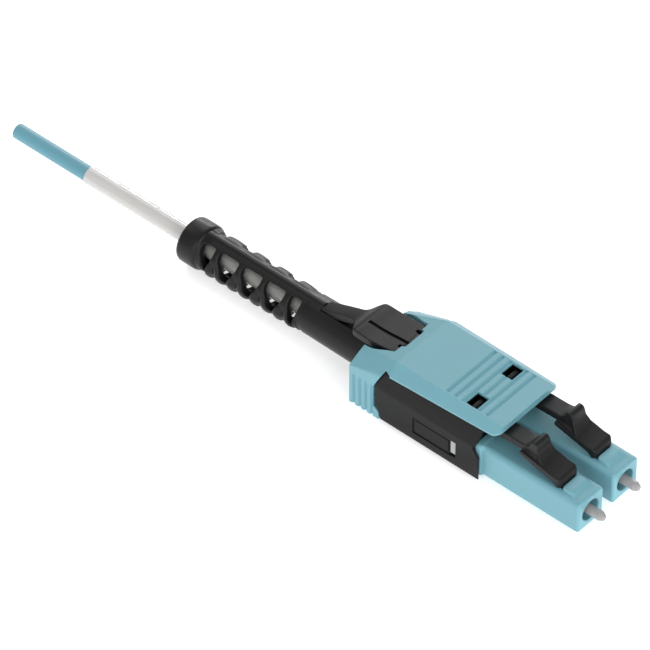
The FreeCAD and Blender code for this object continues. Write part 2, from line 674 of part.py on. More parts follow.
# the side openings, with a slanted rear edge
for s2 in (1.0, -1.0):
    mid = Size("1", 1) * (6.1 * s2)
    cut(cover, "XZ_Plane", mid - 0.6, mid + 0.6,
        [(at(D.block_front), up(-4.0)), (at(D.plate_rear - 0.02), up(-4.0)),
         (at(D.plate_rear - 0.02), up(5.2)), (at(30.9), up(5.2)),
         (at(32.2), up(2.5)), (at(D.block_front), up(2.0))])
cut(cover, "YZ_Plane", at(D.cavity_rear), at(D.block_front - 0.3),
    box4(-D.cavity_half_w, D.cavity_half_w, up(-D.cavity_under), up(D.cavity_up)))
cut(cover, "YZ_Plane", at(D.block_rear + 0.5), at(D.cavity_rear - 0.2),
    ("ring", 0, D.axis_z, D.tail_bore))
# notch for the release button
cut(cover, "XY_Plane", up(D.cavity_up - 0.3), up(D.plate_up + 0.5),
    [(at(D.block_rear + 0.5), -D.notch_rear_half), (at(D.notch_front), -D.notch_front_half),
     (at(D.notch_front), D.notch_front_half), (at(D.block_rear + 0.5), D.notch_rear_half)])
# latch windows
for s2 in (1.0, -1.0):
    y0 = D.pitch * (0.5 * s2)
    cut(cover, "XY_Plane", up(D.plate_under - 0.5), up(D.plate_up + 0.5),
        box4(at(D.window_rear), at(D.window_front), y0 - D.window_half_w, y0 + D.window_half_w))
# finger grooves across the plate
for i in range(6):
    mid = D.rib_first + D.rib_step * i
    cut(cover, "XY_Plane", up(D.plate_up - D.rib_deep), up(D.plate_up + 0.5),
        box4(at(mid + D.rib_half), at(mid - D.rib_half), -D.rib_half_long, D.rib_half_long))
# grip grooves down the sides of the block
for s2 in (1.0, -1.0):
    face = bw * s2
    inner = (bw - D.grip_deep) * s2
    far = (bw + 0.3) * s2
    for mid in (35.1, 34.25, 33.4):
        cut(cover, "XY_Plane", up(-D.block_under + 0.5), up(3.1),
            [(at(mid + 0.26), far), (at(mid + 0.12), inner), (at(mid - 0.12), inner),
             (at(mid - 0.26), far)])
# rail that runs in the lid's guide slot
pad(cover, "YZ_Plane", at(28.5), at(17.6),
    [(-(D.slot_neck - 0.1), up(D.plate_under + 0.1)), (-(D.slot_neck - 0.1), up(D.slot_step - 0.1)),
     (-(D.slot_foot - 0.1), up(D.slot_step - 0.1)), (-(D.slot_foot - 0.1), up(D.slot_floor + 0.12)),
     (D.slot_foot - 0.1, up(D.slot_floor + 0.12)), (D.slot_foot - 0.1, up(D.slot_step - 0.1)),
     (D.slot_neck - 0.1, up(D.slot_step - 0.1)), (D.slot_neck - 0.1, up(D.plate_under + 0.1))])

# ---- boot: collar, open lattice, solid front part and the plate held by the cover
boot = body("boot")
turn(boot, 0, [
    (at(D.boot_rear), D.collar_bore), (at(64.4), D.collar_bore),
    (at(64.0), D.mesh_bore), (at(D.tube_bore_rear + 0.4), D.mesh_bore),
    (at(D.tube_bore_rear), D.tube_bore), (at(D.plug_plate_rear - 0.05), D.tube_bore),
    (at(D.plug_plate_rear - 0.05), D.tube_step), (at(D.block_rear + 0.08), D.tube_step),
    (at(D.block_rear + 0.08), D.tube_radius),
    (at(D.mesh_front), D.mesh_radius - 0.05), (at(D.mesh_rear), D.mesh_radius),
    (at(D.collar_front), D.collar_radius - 0.1), (at(D.collar_front + 0.5), D.collar_radius),
    (at(D.boot_rear - 0.3), D.collar_radius), (at(D.boot_rear), D.collar_radius - 0.3)])
pad(boot, "YZ_Plane", at(D.plug_plate_rear), at(D.plug_plate_front),
    box4(-5.05 * Size("1", 1), Size("1", 1) * 5.05, up(-1.8), up(3.55)))
cut(boot, "YZ_Plane", at(D.plug_plate_rear + 0.2), at(D.plug_plate_front - 0.2),
    ("ring", 0, D.axis_z, D.tube_bore))
pad(boot, "YZ_Plane", at(D.spine_rear), at(D.spine_front),
    box4(-D.spine_half, D.spine_half, up(2.1), up(D.spine_up)))
# slots from the right, and from the left half a pitch further on
low = -3.2


def trapezoid(mid, wide, narrow, top, bottom):
    return [(at(mid + narrow), up(bottom)), (at(mid - narrow), up(bottom)),
            (at(mid - wide), up(top)), (at(mid + wide), up(top))]


one = Size("1", 1)
for i in range(3):
    cut(boot, "XZ_Plane", one * -3.3, one * 0.35,
        trapezoid(D.slot_start + D.slot_pitch * i, D.slot_wide, D.slot_narrow, D.slot_top, low))
for i in range(4):
    cut(boot, "XZ_Plane", one * -0.35, one * 3.3,
        trapezoid(D.slot_start + D.slot_pitch * (i - 0.5), D.slot_wide, D.slot_narrow,
                  D.slot_top, low))
for mid, w0, w1 in ((D.slot_start - 3.05, 0.85, 0.35), (D.slot_start + D.slot_pitch * 2 + 3.15, 0.8, 0.35)):
    cut(boot, "XZ_Plane", one * -3.3, one * 0.35, trapezoid(mid, one * w0, one * w1, 1.45, low))
# seat for the release button
cut(boot, "YZ_Plane", at(D.button_hinge + 0.8), at(35.6),
    box4(-(D.button_root_half + 0.15), D.button_root_half + 0.15, up(2.3), up(4.0)))

# ---- release button: a tongue that rises from the boot to a thumb pad
button = body("release_button")
pad(button, "XZ_Plane", -D.button_root_half, D.button_root_half * 1.0,
    [(at(D.button_hinge + 0.6), up(2.42)), (at(40.2), up(2.62)), (at(38.4), up(3.95)),
     (at(36.3), up(4.15)), (at(36.3), up(4.85)), (at(38.3), up(4.76)),
     (at(39.3), up(4.3)), (at(40.6), up(3.3)), (at(D.button_hinge), up(2.95)),
     (at(D.button_hinge + 0.6), up(2.9))])
pad(button, "XZ_Plane", -D.button_half, D.button_half * 1.0,
    [(at(38.6), up(4.2)), (at(36.3), up(4.1)), (at(32.5), up(4.35)),
     (at(D.button_front), up(4.6)), (at(D.button_front), up(D.button_up - 0.15)),
     (at(D.button_front + 0.3), up(D.button_up)), (at(35.5), up(5.0)), (at(38.1), up(4.76)),
     (at(38.5), up(4.6))])
cut(button, "XZ_Plane", one * -0.17, one * 0.17,
    [(at(37.9), up(4.6)), (at(D.button_front - 0.3), up(5.3)), (at(D.button_front - 0.3), up(6.0)),
     (at(37.9), up(5.2))])

# ---- crimp post, strength yarn and crimp ring
post = body("crimp_post")
turn(post, 0, [
    (at(D.post_rear), D.post_bore), (at(D.post_head_front), D.post_bore),
    (at(D.post_head_front), D.post_head_radius), (at(D.chamber_rear - 0.02), D.post_head_radius),
    (at(D.chamber_rear - 0.02), D.post_radius), (at(D.post_rear), D.post_radius)])
yarn = body("strength_yarn")
turn(yarn, 0, [
    (at(D.ring_rear + 0.2), D.post_radius), (at(D.ring_front - 0.1), D.post_radius),
    (at(D.ring_front - 0.1), D.yarn_radius), (at(D.ring_rear + 0.2), D.yarn_radius)])
band = body("crimp_ring")
turn(band, 0, [
    (at(D.ring_rear), D.yarn_radius), (at(D.ring_front), D.yarn_radius),
    (at(D.ring_front), D.ring_radius), (at(D.ring_rear), D.ring_radius)])

# ---- cable: jacket to its cut end, and the white tube over its first stretch
jacket = body("cable_jacket")
turn(jacket, 0, [
    (at(D.jacket_rear), 0), (at(D.post_rear), 0),
    (at(D.post_rear), D.jacket_radius), (at(D.jacket_rear), D.jacket_radius)])
sleeve = body("cable_sleeve")
turn(sleeve, 0, [
    (at(D.sleeve_rear), D.sleeve_bore), (at(D.sleeve_front), D.sleeve_bore),
    (at(D.sleeve_front), D.sleeve_radius), (at(D.sleeve_rear), D.sleeve_radius)])

doc.recompute()

bad = [o.Label for o in doc.Objects if "Invalid" in o.State or "Error" in o.State]
if bad:
    raise SystemExit("failed objects: " + ", ".join(bad))
os.makedirs("parts", exist_ok=True)
for old in os.listdir("parts"):
    if old.endswith(".step"):
        os.remove(os.path.join("parts", old))
for o in made:
    shape = o.Shape
    if shape.isNull() or not shape.isValid():
        raise SystemExit("bad shape: " + o.Label)
    if len(shape.Solids) != 1:
        raise SystemExit("%s has %d solids" % (o.Label, len(shape.Solids)))
    shape.exportStep("parts/%s.step" % o.Label)
    bb = shape.BoundBox
    print("%-24s %8.3f mm3  X %7.2f %7.2f  Y %6.2f %6.2f  Z %6.2f %6.2f" % (
        o.Label, shape.Volume, bb.XMin, bb.XMax, bb.YMin, bb.YMax, bb.ZMin, bb.ZMax))
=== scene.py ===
import json
import math

import bmesh
import bpy
from mathutils import Matrix, Vector


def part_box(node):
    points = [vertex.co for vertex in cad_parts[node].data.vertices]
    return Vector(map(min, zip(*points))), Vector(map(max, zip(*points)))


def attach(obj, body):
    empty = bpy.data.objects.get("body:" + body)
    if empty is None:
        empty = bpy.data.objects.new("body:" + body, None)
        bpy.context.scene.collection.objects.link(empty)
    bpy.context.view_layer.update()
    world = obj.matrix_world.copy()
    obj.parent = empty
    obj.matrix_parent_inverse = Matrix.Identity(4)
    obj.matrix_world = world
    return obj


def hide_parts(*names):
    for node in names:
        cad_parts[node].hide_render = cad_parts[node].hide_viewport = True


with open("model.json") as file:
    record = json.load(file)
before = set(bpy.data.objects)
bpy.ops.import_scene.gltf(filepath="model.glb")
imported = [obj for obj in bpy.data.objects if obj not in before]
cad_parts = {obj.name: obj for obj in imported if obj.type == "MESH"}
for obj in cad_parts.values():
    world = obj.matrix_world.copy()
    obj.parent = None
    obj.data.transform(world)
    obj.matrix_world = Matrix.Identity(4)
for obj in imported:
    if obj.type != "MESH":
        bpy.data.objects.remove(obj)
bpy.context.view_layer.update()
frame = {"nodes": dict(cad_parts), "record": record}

# ------------------------------------------------------------------ the frame, in millimetres
MM = 1000.0
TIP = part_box("ferrule_left")[1].x * MM                      # ferrule tips
f_lo, f_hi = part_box("ferrule_left")
AXIS = (f_lo.z + f_hi.z) / 2 * MM                           # height of the ferrule axis
PITCH_HALF = (f_lo.y + f_hi.y) / 2 * MM                     # ferrule axis from the middle
SIDES = (("left", 1.0), ("right", -1.0))


def X(back):
    return TIP - back


def Z(up):
    return AXIS + up


def box_mm(node):
    lo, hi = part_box(node)
    return lo * MM, hi * MM


# ------------------------------------------------------------------ camera
def set_camera():
    cam = bpy.data.objects.new("camera", bpy.data.cameras.new("camera"))
    bpy.context.scene.collection.objects.link(cam)
    az, el = math.radians(40.79), math.radians(44.91)
    f, dist = 5731.0, 673.8
    fwd = Vector((-math.sin(az) * math.cos(el), math.cos(az) * math.cos(el), -math.sin(el)))
    right = Vector((math.cos(az), math.sin(az), 0))
    up = right.cross(fwd)
    target = Vector((X(40.0), 0, Z(0)))
    place = target - fwd * dist
    aim = (fwd * f + right * (325 - 358.2) - up * (325 - 340.4)).normalized()
    cam.location = place / MM
    cam.rotation_euler = aim.to_track_quat("-Z", "Y").to_euler()
    cam.data.sensor_width = 36.0
    cam.data.lens = f / 650.0 * 36.0
    cam.data.clip_start = 0.05
    cam.data.clip_end = 20.0
    bpy.context.scene.camera = cam


set_camera()


# ------------------------------------------------------------------ mesh tools, all in millimetres
def from_bmesh(name, bm):
    me = bpy.data.meshes.new(name)
    bmesh.ops.recalc_face_normals(bm, faces=bm.faces)
    bm.to_mesh(me)
    bm.free()
    ob = bpy.data.objects.new(name, me)
    bpy.context.scene.collection.objects.link(ob)
    return ob


def prism(points, axis, low, high, name="work"):
    """A straight prism. Points are (y, z), (x, z) or (x, y) for axis X, Y or Z."""
    bm = bmesh.new()

    def at(p, t):
        if axis == "X":
            return (t, p[0], p[1])
        if axis == "Y":
            return (p[0], t, p[1])
        return (p[0], p[1], t)

    a = [bm.verts.new(at(p, low)) for p in points]
    b = [bm.verts.new(at(p, high)) for p in points]
    n = len(points)
    bm.faces.new(a)
    bm.faces.new(list(reversed(b)))
    for i in range(n):
        bm.faces.new((a[i], a[(i + 1) % n], b[(i + 1) % n], b[i]))
    return from_bmesh(name, bm)


def block(x0, x1, y0, y1, z0, z1, name="work"):
    return prism([(y0, z0), (y1, z0), (y1, z1), (y0, z1)], "X", min(x0, x1), max(x0, x1), name)


def loft(sections, name="work"):
    """Sections are (x, [(y, z), ...]) with the same number of points."""
    bm = bmesh.new()
    rings = [[bm.verts.new((x, p[0], p[1])) for p in pts] for x, pts in sections]
    n = len(rings[0])
    bm.faces.new(rings[0])
    bm.faces.new(list(reversed(rings[-1])))
    for r, s in zip(rings, rings[1:]):
        for i in range(n):
            bm.faces.new((r[i], r[(i + 1) % n], s[(i + 1) % n], s[i]))
    return from_bmesh(name, bm)


def turned(points, y=0.0, steps=64, name="work", z=None):
    """A turned piece about the line along X at y. Points are (x, radius), a closed outline."""
    bm = bmesh.new()
    z = Z(0) if z is None else z
    rings = []
    for x, r in points:
        if r < 1e-9:
            rings.append([bm.verts.new((x, y, z))])
        else:
            rings.append([bm.verts.new((x, y + r * math.cos(2 * math.pi * k / steps),
                                        z + r * math.sin(2 * math.pi * k / steps)))
                          for k in range(steps)])
    m = len(rings)
    for i in range(m):
        p, q = rings[i], rings[(i + 1) % m]
        if len(p) == 1 and len(q) == 1:
            continue
        for k in range(steps):
            k2 = (k + 1) % steps
            if len(p) == 1:
                bm.faces.new((p[0], q[k], q[k2]))
            elif len(q) == 1:
                bm.faces.new((p[k], p[k2], q[0]))
            else:
                bm.faces.new((p[k], p[k2], q[k2], q[k]))
    return from_bmesh(name, bm)


def rod(x0, x1, r, y=0.0, z=None, steps=64, name="work"):
    return turned([(x0, 0), (x1, 0), (x1, r), (x0, r)], y, steps, name, z)


def rod_y(x, z, r, y0, y1, steps=48, name="work"):
    pts = [(x + r * math.cos(2 * math.pi * k / steps), z + r * math.sin(2 * math.pi * k / steps))
           for k in range(steps)]
    return prism(pts, "Y", y0, y1, name)


def baked(ob):
    """Applies the modifiers."""
    dg = bpy.context.evaluated_depsgraph_get()
    dg.update()
    me = bpy.data.meshes.new_from_object(ob.evaluated_get(dg))
    old = ob.data
    ob.modifiers.clear()
    ob.data = me
    bpy.data.meshes.remove(old)
    return ob


def combine(a, b, how):
    m = a.modifiers.new("b", "BOOLEAN")
    m.operation = how
    m.object = b
    m.solver = "EXACT"
    baked(a)
    bpy.data.objects.remove(b)
    return a


def minus(a, *others):
    for b in others:
        combine(a, b, "DIFFERENCE")
    return a


def plus(a, *others):
    for b in others:
        combine(a, b, "UNION")
    return a


def common(a, b):
    return combine(a, b, "INTERSECT")


def tidy(ob, angle=0.6):
    """Merges doubles and drops edges between coplanar faces."""
    bm = bmesh.new()
    bm.from_mesh(ob.data)
    bmesh.ops.remove_doubles(bm, verts=bm.verts, dist=0.003)
    bmesh.ops.dissolve_degenerate(bm, edges=bm.edges, dist=0.002)
    bmesh.ops.dissolve_limit(bm, angle_limit=math.radians(angle), verts=bm.verts,
                             edges=bm.edges, delimit=set())
    bmesh.ops.recalc_face_normals(bm, faces=bm.faces)
    bm.to_mesh(ob.data)
    bm.free()
    return ob


def round_edges(ob, width, segments=3, angle=25.0, want=None, clamp=True):
    """Rounds the sharp edges, or those that want() picks from an edge's middle."""
    bm = bmesh.new()
    bm.from_mesh(ob.data)
    picked = []
    for e in bm.edges:
        if len(e.link_faces) != 2:
            continue
        if math.degrees(e.calc_face_angle(0)) < angle:
            continue
        mid = (e.verts[0].co + e.verts[1].co) / 2
        if want is None or want(mid, e):
            picked.append(e)
    if picked:
        bmesh.ops.bevel(bm, geom=picked, offset=width, offset_type="OFFSET", segments=segments,
                        profile=0.5, affect="EDGES", clamp_overlap=clamp, miter_outer="ARC",
                        harden_normals=False)
    bm.to_mesh(ob.data)
    bm.free()
    return ob


def done(ob, name, sharp=32.0, weighted=True):
    """Back to metres, smooth shading with sharp edges kept."""
    bm = bmesh.new()
    bm.from_mesh(ob.data)
    bmesh.ops.triangulate(bm, faces=[f for f in bm.faces if len(f.verts) > 4],
                          quad_method="BEAUTY", ngon_method="BEAUTY")
    bm.to_mesh(ob.data)
    bm.free()
    ob.name = name
    ob.data.name = name
    ob.data.transform(Matrix.Scale(1 / MM, 4))
    ob.data.shade_smooth()
    ob.data.set_sharp_from_angle(angle=math.radians(sharp))
    if weighted:
        m = ob.modifiers.new("normals", "WEIGHTED_NORMAL")
        m.keep_sharp = True
        m.weight = 80
        baked(ob)
    return ob


def rounded_rect(cy, cz, w, h, radii, steps=6):
    """Corner order: low y low z, high y low z, high y high z, low y high z."""
    pts = []
    corners = [(-1, -1, 180), (1, -1, 270), (1, 1, 0), (-1, 1, 90)]
    for (sy, sz, a0), r in zip(corners, radii):
        oy, oz = cy + sy * (w / 2 - r), cz + sz * (h / 2 - r)
        for k in range(steps + 1):
            a = math.radians(a0 + 90.0 * k / steps)
            pts.append((oy + r * math.cos(a), oz + r * math.sin(a)))
    return pts


def capsule(x, y, z, rx, half_y, rz, name="work", steps=24):
    """A rounded bar along Y with domed ends, flattened to rx by rz."""
    bm = bmesh.new()
    rings = []
    core = max(half_y - rx, 0)
    for j in range(-8, 9):
        a = math.pi / 2 * j / 8
        yy = y + (core if j > 0 else -core if j < 0 else 0) + rx * math.sin(a)
        c = math.cos(a)
        if abs(j) == 8:
            rings.append([bm.verts.new((x, yy, z))])
            continue
        rings.append([bm.verts.new((x + rx * c * math.cos(2 * math.pi * k / steps), yy,
                                    z + rz * c * math.sin(2 * math.pi * k / steps)))
                      for k in range(steps)])
    for p, q in zip(rings, rings[1:]):
        for k in range(steps):
            k2 = (k + 1) % steps
            if len(p) == 1:
                bm.faces.new((p[0], q[k], q[k2]))
            elif len(q) == 1:
                bm.faces.new((p[k], p[k2], q[0]))
            else:
                bm.faces.new((p[k], p[k2], q[k2], q[k]))
    return from_bmesh(name, bm)


def stack(rings):
    """A closed body through rings of points, lowest first."""
    bm = bmesh.new()
    vs = [[bm.verts.new(p) for p in ring] for ring in rings]
    n = len(vs[0])
    bm.faces.new(list(reversed(vs[0])))
    bm.faces.new(vs[-1])
    for r, q in zip(vs, vs[1:]):
        for i in range(n):
            bm.faces.new((r[i], r[(i + 1) % n], q[(i + 1) % n], q[i]))
    return from_bmesh("stack", bm)


# ------------------------------------------------------------------ materials
def link(nt, a, b):
    nt.links.new(a, b)


def plastic(name, color, rough, vary=0.06, grain=900.0, bump=0.06, specular=0.5, painted_edge_highlight=0.0,
            rough_vary=0.06, coat=0.0, sss=0.0):
    """Moulded plastic: faint colour clouds, fine spark-eroded grain, uneven gloss, with optional painted
    highlights that lighten the convex edges.
    """
    m = bpy.data.materials.new(name)
    m.use_nodes = True
    nt = m.node_tree
    bsdf = nt.nodes["Principled BSDF"]
    bsdf.inputs["Specular IOR Level"].default_value = specular
    bsdf.inputs["Coat Weight"].default_value = coat
    bsdf.inputs["Coat Roughness"].default_value = 0.12
    bsdf.inputs["Subsurface Weight"].default_value = sss
    if sss:
        bsdf.inputs["Subsurface Radius"].default_value = (0.6, 0.8, 0.9)
        bsdf.inputs["Subsurface Scale"].default_value = 0.0006
    tc = nt.nodes.new("ShaderNodeTexCoord")
    cloud = nt.nodes.new("ShaderNodeTexNoise")
    cloud.inputs["Scale"].default_value = 160.0
    cloud.inputs["Detail"].default_value = 4.0
    link(nt, tc.outputs["Object"], cloud.inputs["Vector"])
    ramp = nt.nodes.new("ShaderNodeMix")
    ramp.data_type = "RGBA"
    dark = [c * (1 - vary) for c in color]
    light = [min(1.0, c * (1 + vary)) for c in color]
    ramp.inputs[6].default_value = (*dark, 1)
    ramp.inputs[7].default_value = (*light, 1)
    link(nt, cloud.outputs["Fac"], ramp.inputs[0])
    last = ramp.outputs[2]
    # Painted highlight: convex edges, found by pointiness, are lightened in the base colour to stand in for light
    # caught on rounded edges.
    if painted_edge_highlight:
        geo = nt.nodes.new("ShaderNodeNewGeometry")
        edge = nt.nodes.new("ShaderNodeMapRange")
        edge.inputs["From Min"].default_value = 0.52
        edge.inputs["From Max"].default_value = 0.62
        link(nt, geo.outputs["Pointiness"], edge.inputs["Value"])
        scaled = nt.nodes.new("ShaderNodeMath")
        scaled.operation = "MULTIPLY"
        scaled.inputs[1].default_value = painted_edge_highlight
        link(nt, edge.outputs["Result"], scaled.inputs[0])
        mix = nt.nodes.new("ShaderNodeMix")
        mix.data_type = "RGBA"
        link(nt, scaled.outputs[0], mix.inputs[0])
        link(nt, last, mix.inputs[6])
        mix.inputs[7].default_value = (*[min(1.0, c * 1.5 + 0.05) for c in color], 1)
        last = mix.outputs[2]
    link(nt, last, bsdf.inputs["Base Color"])
    fine = nt.nodes.new("ShaderNodeTexNoise")
    fine.inputs["Scale"].default_value = grain * 10
    fine.inputs["Detail"].default_value = 3.0
    link(nt, tc.outputs["Object"], fine.inputs["Vector"])
    rr = nt.nodes.new("ShaderNodeMapRange")
    rr.inputs["To Min"].default_value = max(0.02, rough - rough_vary)
    rr.inputs["To Max"].default_value = min(1.0, rough + rough_vary)
    link(nt, cloud.outputs["Fac"], rr.inputs["Value"])
    link(nt, rr.outputs["Result"], bsdf.inputs["Roughness"])
    b = nt.nodes.new("ShaderNodeBump")
    b.inputs["Strength"].default_value = bump
    b.inputs["Distance"].default_value = 0.00002
    link(nt, fine.outputs["Fac"], b.inputs["Height"])
    link(nt, b.outputs["Normal"], bsdf.inputs["Normal"])
    return m


def metal(name, color, rough, lines="X"):
    """Turned or drawn metal with fine lines round or along the piece."""
    m = bpy.data.materials.new(name)
    m.use_nodes = True
    nt = m.node_tree
    bsdf = nt.nodes["Principled BSDF"]
    bsdf.inputs["Metallic"].default_value = 1.0
    tc = nt.nodes.new("ShaderNodeTexCoord")
    mp = nt.nodes.new("ShaderNodeMapping")
    mp.inputs["Scale"].default_value = (9000, 150, 150) if lines == "X" else (150, 9000, 9000)
    link(nt, tc.outputs["Object"], mp.inputs["Vector"])
    n = nt.nodes.new("ShaderNodeTexNoise")
    n.inputs["Scale"].default_value = 1.0
    n.inputs["Detail"].default_value = 3.0
    link(nt, mp.outputs["Vector"], n.inputs["Vector"])
    mix = nt.nodes.new("ShaderNodeMix")
    mix.data_type = "RGBA"
    mix.inputs[6].default_value = (*[c * 0.85 for c in color], 1)
    mix.inputs[7].default_value = (*color, 1)
    link(nt, n.outputs["Fac"], mix.inputs[0])
    link(nt, mix.outputs[2], bsdf.inputs["Base Color"])
    rr = nt.nodes.new("ShaderNodeMapRange")
    rr.inputs["To Min"].default_value = rough * 0.7
    rr.inputs["To Max"].default_value = rough * 1.3
    link(nt, n.outputs["Fac"], rr.inputs["Value"])
    link(nt, rr.outputs["Result"], bsdf.inputs["Roughness"])
    b = nt.nodes.new("ShaderNodeBump")
    b.inputs["Strength"].default_value = 0.08
    b.inputs["Distance"].default_value = 0.00002
    link(nt, n.outputs["Fac"], b.inputs["Height"])
    link(nt, b.outputs["Normal"], bsdf.inputs["Normal"])
    return m


AQUA = (0.165, 0.388, 0.455)
# The edge amounts set below lighten convex edges in the base colour as painted highlights, not as real wear.
MATS = {
    "aqua_housing": plastic("aqua_housing", AQUA, 0.42, 0.03, 900, 0.05, painted_edge_highlight=0.35, sss=0.12),
    "aqua_cover": plastic("aqua_cover", AQUA, 0.42, 0.03, 900, 0.07, sss=0.12),
    "aqua_jacket": plastic("aqua_jacket", (0.125, 0.330, 0.410), 0.40, 0.05, 500, 0.10),
    "black_body": plastic("black_body", (0.0055, 0.0055, 0.006), 0.44, 0.15, 900, 0.12, specular=0.17, painted_edge_highlight=0.10),
    "black_latch": plastic("black_latch", (0.009, 0.009, 0.0095), 0.40, 0.15, 900, 0.10, specular=0.27, painted_edge_highlight=0.10),
    "black_boot": plastic("black_boot", (0.0075, 0.0075, 0.008), 0.36, 0.15, 700, 0.14, specular=0.27, painted_edge_highlight=0.10),
    "white_tube": plastic("white_tube", (0.60, 0.595, 0.58), 0.16, 0.02, 400, 0.03, coat=0.6, sss=0.25),
    "ceramic": plastic("ceramic", (0.36, 0.345, 0.35), 0.24, 0.03, 1200, 0.02, sss=0.2),
    "nickel": metal("nickel", (0.62, 0.61, 0.58), 0.25),
    "spring_steel": metal("spring_steel", (0.55, 0.55, 0.56), 0.3, "Y"),
    "grey_insert": plastic("grey_insert", (0.16, 0.165, 0.18), 0.45, 0.08, 900, 0.08),
    "pale_insert": plastic("pale_insert", (0.42, 0.43, 0.43), 0.40, 0.05, 900, 0.08),
    "fibre_buffer": plastic("fibre_buffer", (0.55, 0.60, 0.46), 0.35, 0.05, 900, 0.03),
    "yarn": plastic("yarn", (0.62, 0.46, 0.10), 0.75, 0.25, 1500, 0.6),
}


def painted_shade_inside_boot(mat, where, inside, outside):
    """Two tones along the sleeve: painted shade makes it greyer inside the boot, where it is also finely wound."""
    nt = mat.node_tree
    bsdf = nt.nodes["Principled BSDF"]
    src = bsdf.inputs["Base Color"].links[0].from_socket
    tc = nt.nodes.new("ShaderNodeTexCoord")
    sep = nt.nodes.new("ShaderNodeSeparateXYZ")
    nt.links.new(tc.outputs["Object"], sep.inputs[0])
    step = nt.nodes.new("ShaderNodeMapRange")
    step.inputs["From Min"].default_value = where - 0.0006
    step.inputs["From Max"].default_value = where + 0.0006
    nt.links.new(sep.outputs["X"], step.inputs["Value"])
    wave = nt.nodes.new("ShaderNodeTexWave")
    wave.inputs["Scale"].default_value = 900.0
    wave.inputs["Distortion"].default_value = 1.5
    wave.bands_direction = "DIAGONAL"
    nt.links.new(tc.outputs["Object"], wave.inputs["Vector"])
    tone = nt.nodes.new("ShaderNodeMix")
    tone.data_type = "RGBA"
    tone.inputs[6].default_value = (*[c * 0.94 for c in inside], 1)
    tone.inputs[7].default_value = (*inside, 1)
    nt.links.new(wave.outputs["Fac"], tone.inputs[0])
    pick = nt.nodes.new("ShaderNodeMix")
    pick.data_type = "RGBA"
    pick.inputs[6].default_value = (*outside, 1)
    nt.links.new(step.outputs["Result"], pick.inputs[0])
    nt.links.new(tone.outputs[2], pick.inputs[7])
    mul = nt.nodes.new("ShaderNodeMix")
    mul.data_type = "RGBA"
    mul.blend_type = "MULTIPLY"
    mul.inputs[0].default_value = 1.0
    nt.links.new(src, mul.inputs[6])
    nt.links.new(pick.outputs[2], mul.inputs[7])
    nt.links.new(mul.outputs[2], bsdf.inputs["Base Color"])


def dress(ob, slot, body, node=None):
    ob.data.materials.clear()
    ob.data.materials.append(MATS[slot])
    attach(ob, body)
    if node:
        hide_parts(node)
    return ob


record_slot = {p["node"]: p["material_slot"] for p in frame["record"]["subparts"]}
for node, ob in frame["nodes"].items():
    ob.data.materials.clear()
    ob.data.materials.append(MATS[record_slot[node]])

# ------------------------------------------------------------------ cable
def cord_line(points):
    cu = bpy.data.curves.new("cable_jacket_skin", "CURVE")
    cu.dimensions = "3D"
    sp = cu.splines.new("NURBS")
    sp.points.add(len(points) - 1)
    for p, q in zip(sp.points, points):
        p.co = (*q, 1)
    sp.order_u = 3
    sp.use_endpoint_u = True
    sp.resolution_u = 12
    cu.bevel_depth = 0.001
    cu.bevel_resolution = 12
    cu.use_fill_caps = True
    ob = bpy.data.objects.new("cable_jacket_skin", cu)
    bpy.context.scene.collection.objects.link(ob)
    return ob


route = [(X(b) / MM, 0, AXIS / MM) for b in (41.0, 46.0, 54.0, 62.0, 70.0, 78.0, 86.0, 91.0, 95.0)]
cable = cord_line(route)
cable.data.materials.append(MATS["aqua_jacket"])
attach(cable, "core")
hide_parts("cable_jacket")
sleeve = turned([(X(83.1), 1.03), (X(43.4), 1.03), (X(43.4), 1.12), (X(43.45), 1.15), (X(83.02), 1.15),
                 (X(83.1), 1.10)], 0, 64)
done(sleeve, "cable_sleeve_tube", 40)
# Painted shade: the sleeve's base colour is darkened to grey where it runs inside the boot, standing in for the
# shade of the lattice around it.
painted_shade_inside_boot(MATS["white_tube"], X(66.2) / MM, (0.56, 0.57, 0.55), (1, 1, 1))
dress(sleeve, "white_tube", "core", "cable_sleeve")

